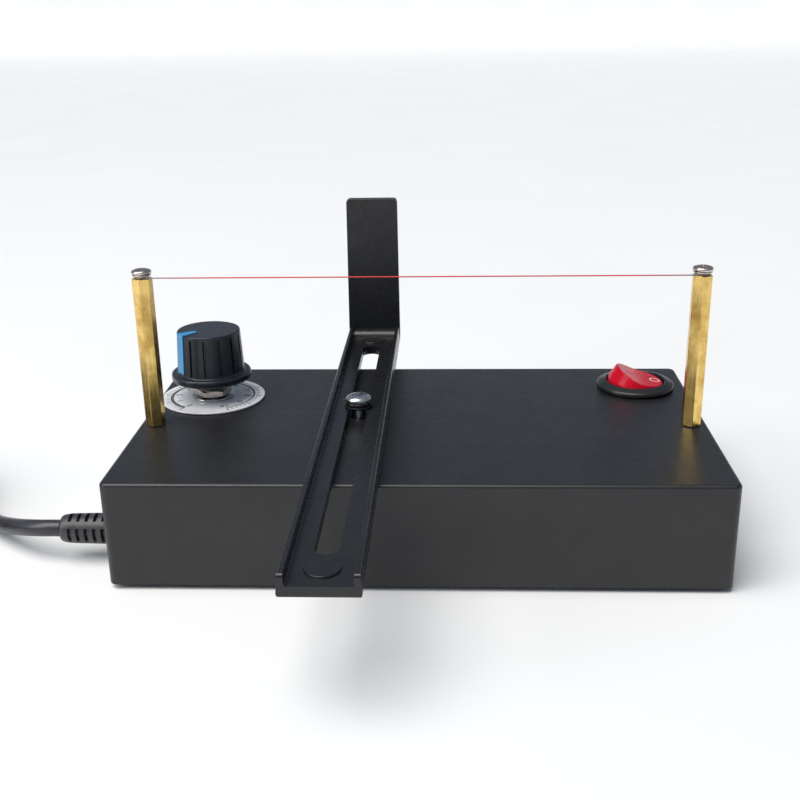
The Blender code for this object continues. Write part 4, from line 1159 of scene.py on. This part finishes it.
def switch_rocker():
    """A ball cut to a shallow dished top, with the on and off marks printed on it."""
    bm = bmesh.new()
    bmesh.ops.create_uvsphere(bm, u_segments=72, v_segments=48, radius=ROCKER_RADIUS)
    rocker = from_bmesh("switch_rocker_fine", bm, ROCKER)
    reach = 2 * ROCKER_RADIUS
    flank = [(0.0, 0.0080), (ROCKER_RADIUS - 0.0021, 0.0080), (ROCKER_RADIUS - 0.00015, 0.0004),
             (ROCKER_RADIUS + 0.0001, -0.0010), (ROCKER_RADIUS, -0.0080), (0.0, -0.0080)]
    combine(rocker, turned("flank", flank, (0, 0, 0), 96, matrix=ROCKER), "INTERSECT")
    dish = [(x, dish_height(x)) for x in [reach * (step / 16 - 1) for step in range(33)]]
    above = dish + [(reach, reach), (-reach, reach)]
    combine(rocker, prism("above", above, 2 * reach, ROCKER @ turn_about("X", 90)))
    low = ROCKER @ shift((0, 0, -0.0050 - reach / 2))
    combine(rocker, block("low", (2 * reach, 2 * reach, reach), low))
    bevelled(rocker, 0.00035, 3, 25)
    piece(rocker, "rocker", "rocker", ["switch_rocker"])

    def on_top(x):
        lean = math.atan(ROCKER_SLOPE * x / math.hypot(x, DISH_ROUND))
        return ROCKER @ shift((x, 0, dish_height(x) + 0.00001)) @ Matrix.Rotation(-lean, 4, "Y")

    stroke = 0.00032
    outer = 0.00165
    inner = outer - stroke
    loop = [(outer, 0.00004), (outer, -0.00006), (inner, -0.00006), (inner, 0.00004)]
    circle = turned("rocker_off_mark", loop, (0, 0, 0), 56, ring=True)
    circle.data.transform(on_top(0.0052))
    piece(circle, "rocker", "mark")
    dash = block("rocker_on_mark", (0.0028, 0.0004, 0.00008), on_top(-0.0034))
    piece(dash, "rocker", "faint_mark")


# ---------------------------------------------------------------- what stays from the frame
KEPT = {
    "bottom_plate": "case", "potentiometer_shaft": "zinc", "switch_terminal_1": "brass",
    "switch_terminal_2": "brass", "circuit_board": "board", "board_screw_1": "zinc",
    "board_screw_2": "zinc", "transformer_core": "ferrite", "transformer_winding": "copper",
    "input_capacitor": "sleeve", "output_capacitor": "sleeve", "heat_sink": "aluminium",
    "power_transistor": "ferrite", "fuse": "glass", "terminal_block": "terminal",
    "left_post_lead": "lead_red", "right_post_lead": "lead_red", "switch_lead": "lead_brown",
    "dial_lead": "lead_brown",
}


def paint_kept_nodes():
    for node, material in KEPT.items():
        mesh = frame["nodes"][node].data
        mesh.materials.clear()
        mesh.materials.append(MATERIALS[material])


# ---------------------------------------------------------------- floor and light
def make_floor():
    """Paper sweep: flat under the object, curving up far behind it to a low wall."""
    profile = [(-6.0, 0.0), (3.0, 0.0)]
    for step in range(1, 9):
        a = math.pi / 2 * step / 8
        profile.append((3.0 + 0.5 * math.sin(a), 0.5 - 0.5 * math.cos(a)))
    bm = bmesh.new()
    rows = [[bm.verts.new((x, y, z - 0.00002)) for y, z in profile] for x in (-6.0, 6.0)]
    for index in range(len(profile) - 1):
        bm.faces.new([rows[0][index], rows[1][index], rows[1][index + 1], rows[0][index + 1]])
    floor = from_bmesh("floor", bm)
    floor.data.shade_smooth()
    shader = Shader("floor_paper", (0.86, 0.86, 0.86), 0.7)
    shader.vary_colour(shader.noise(9.0, 3.0), (0.85, 0.85, 0.85), (0.87, 0.87, 0.87))
    floor.data.materials.append(shader.material)


def soft_light(name, place, target, size, power):
    data = bpy.data.lights.new(name, "AREA")
    data.shape = "RECTANGLE"
    data.size, data.size_y = size
    data.energy = power
    light = bpy.data.objects.new(name, data)
    light.location = place
    light.rotation_euler = (Vector(target) - Vector(place)).to_track_quat("-Z", "Y").to_euler()
    in_scene(light)


def make_light():
    """A broad high sun keeps the floor pale; a dim sky keeps the dark plastic dark."""
    world = bpy.data.worlds.new("studio")
    world.use_nodes = True
    background = world.node_tree.nodes["Background"]
    background.inputs["Color"].default_value = (0.66, 0.79, 1.0, 1.0)
    background.inputs["Strength"].default_value = 0.28
    bpy.context.scene.world = world
    data = bpy.data.lights.new("sun", "SUN")
    data.energy = 3.0
    data.angle = math.radians(50)
    data.color = (1.0, 0.975, 0.930)
    sun = bpy.data.objects.new("sun", data)
    sun.rotation_euler = Vector((0.35, 0.30, -1.0)).to_track_quat("-Z", "Y").to_euler()
    in_scene(sun)
    soft_light("left", (-0.70, -0.35, 0.40), (0, 0, 0.04), (0.35, 0.35), 2.0)
    bpy.context.scene.view_settings.view_transform = "Standard"


def main():
    make_camera()
    declare_cord()
    case_shell()
    feet()
    bottom_screws()
    for side, degrees in (("left", 20), ("right", 5)):
        post(side)
        terminal(side, degrees)
    cutting_wire()
    stop_bracket()
    clamp_hardware()
    dial_plate()
    potentiometer()
    control_knob()
    switch_body()
    switch_rocker()
    paint_kept_nodes()
    make_floor()
    make_light()


main()
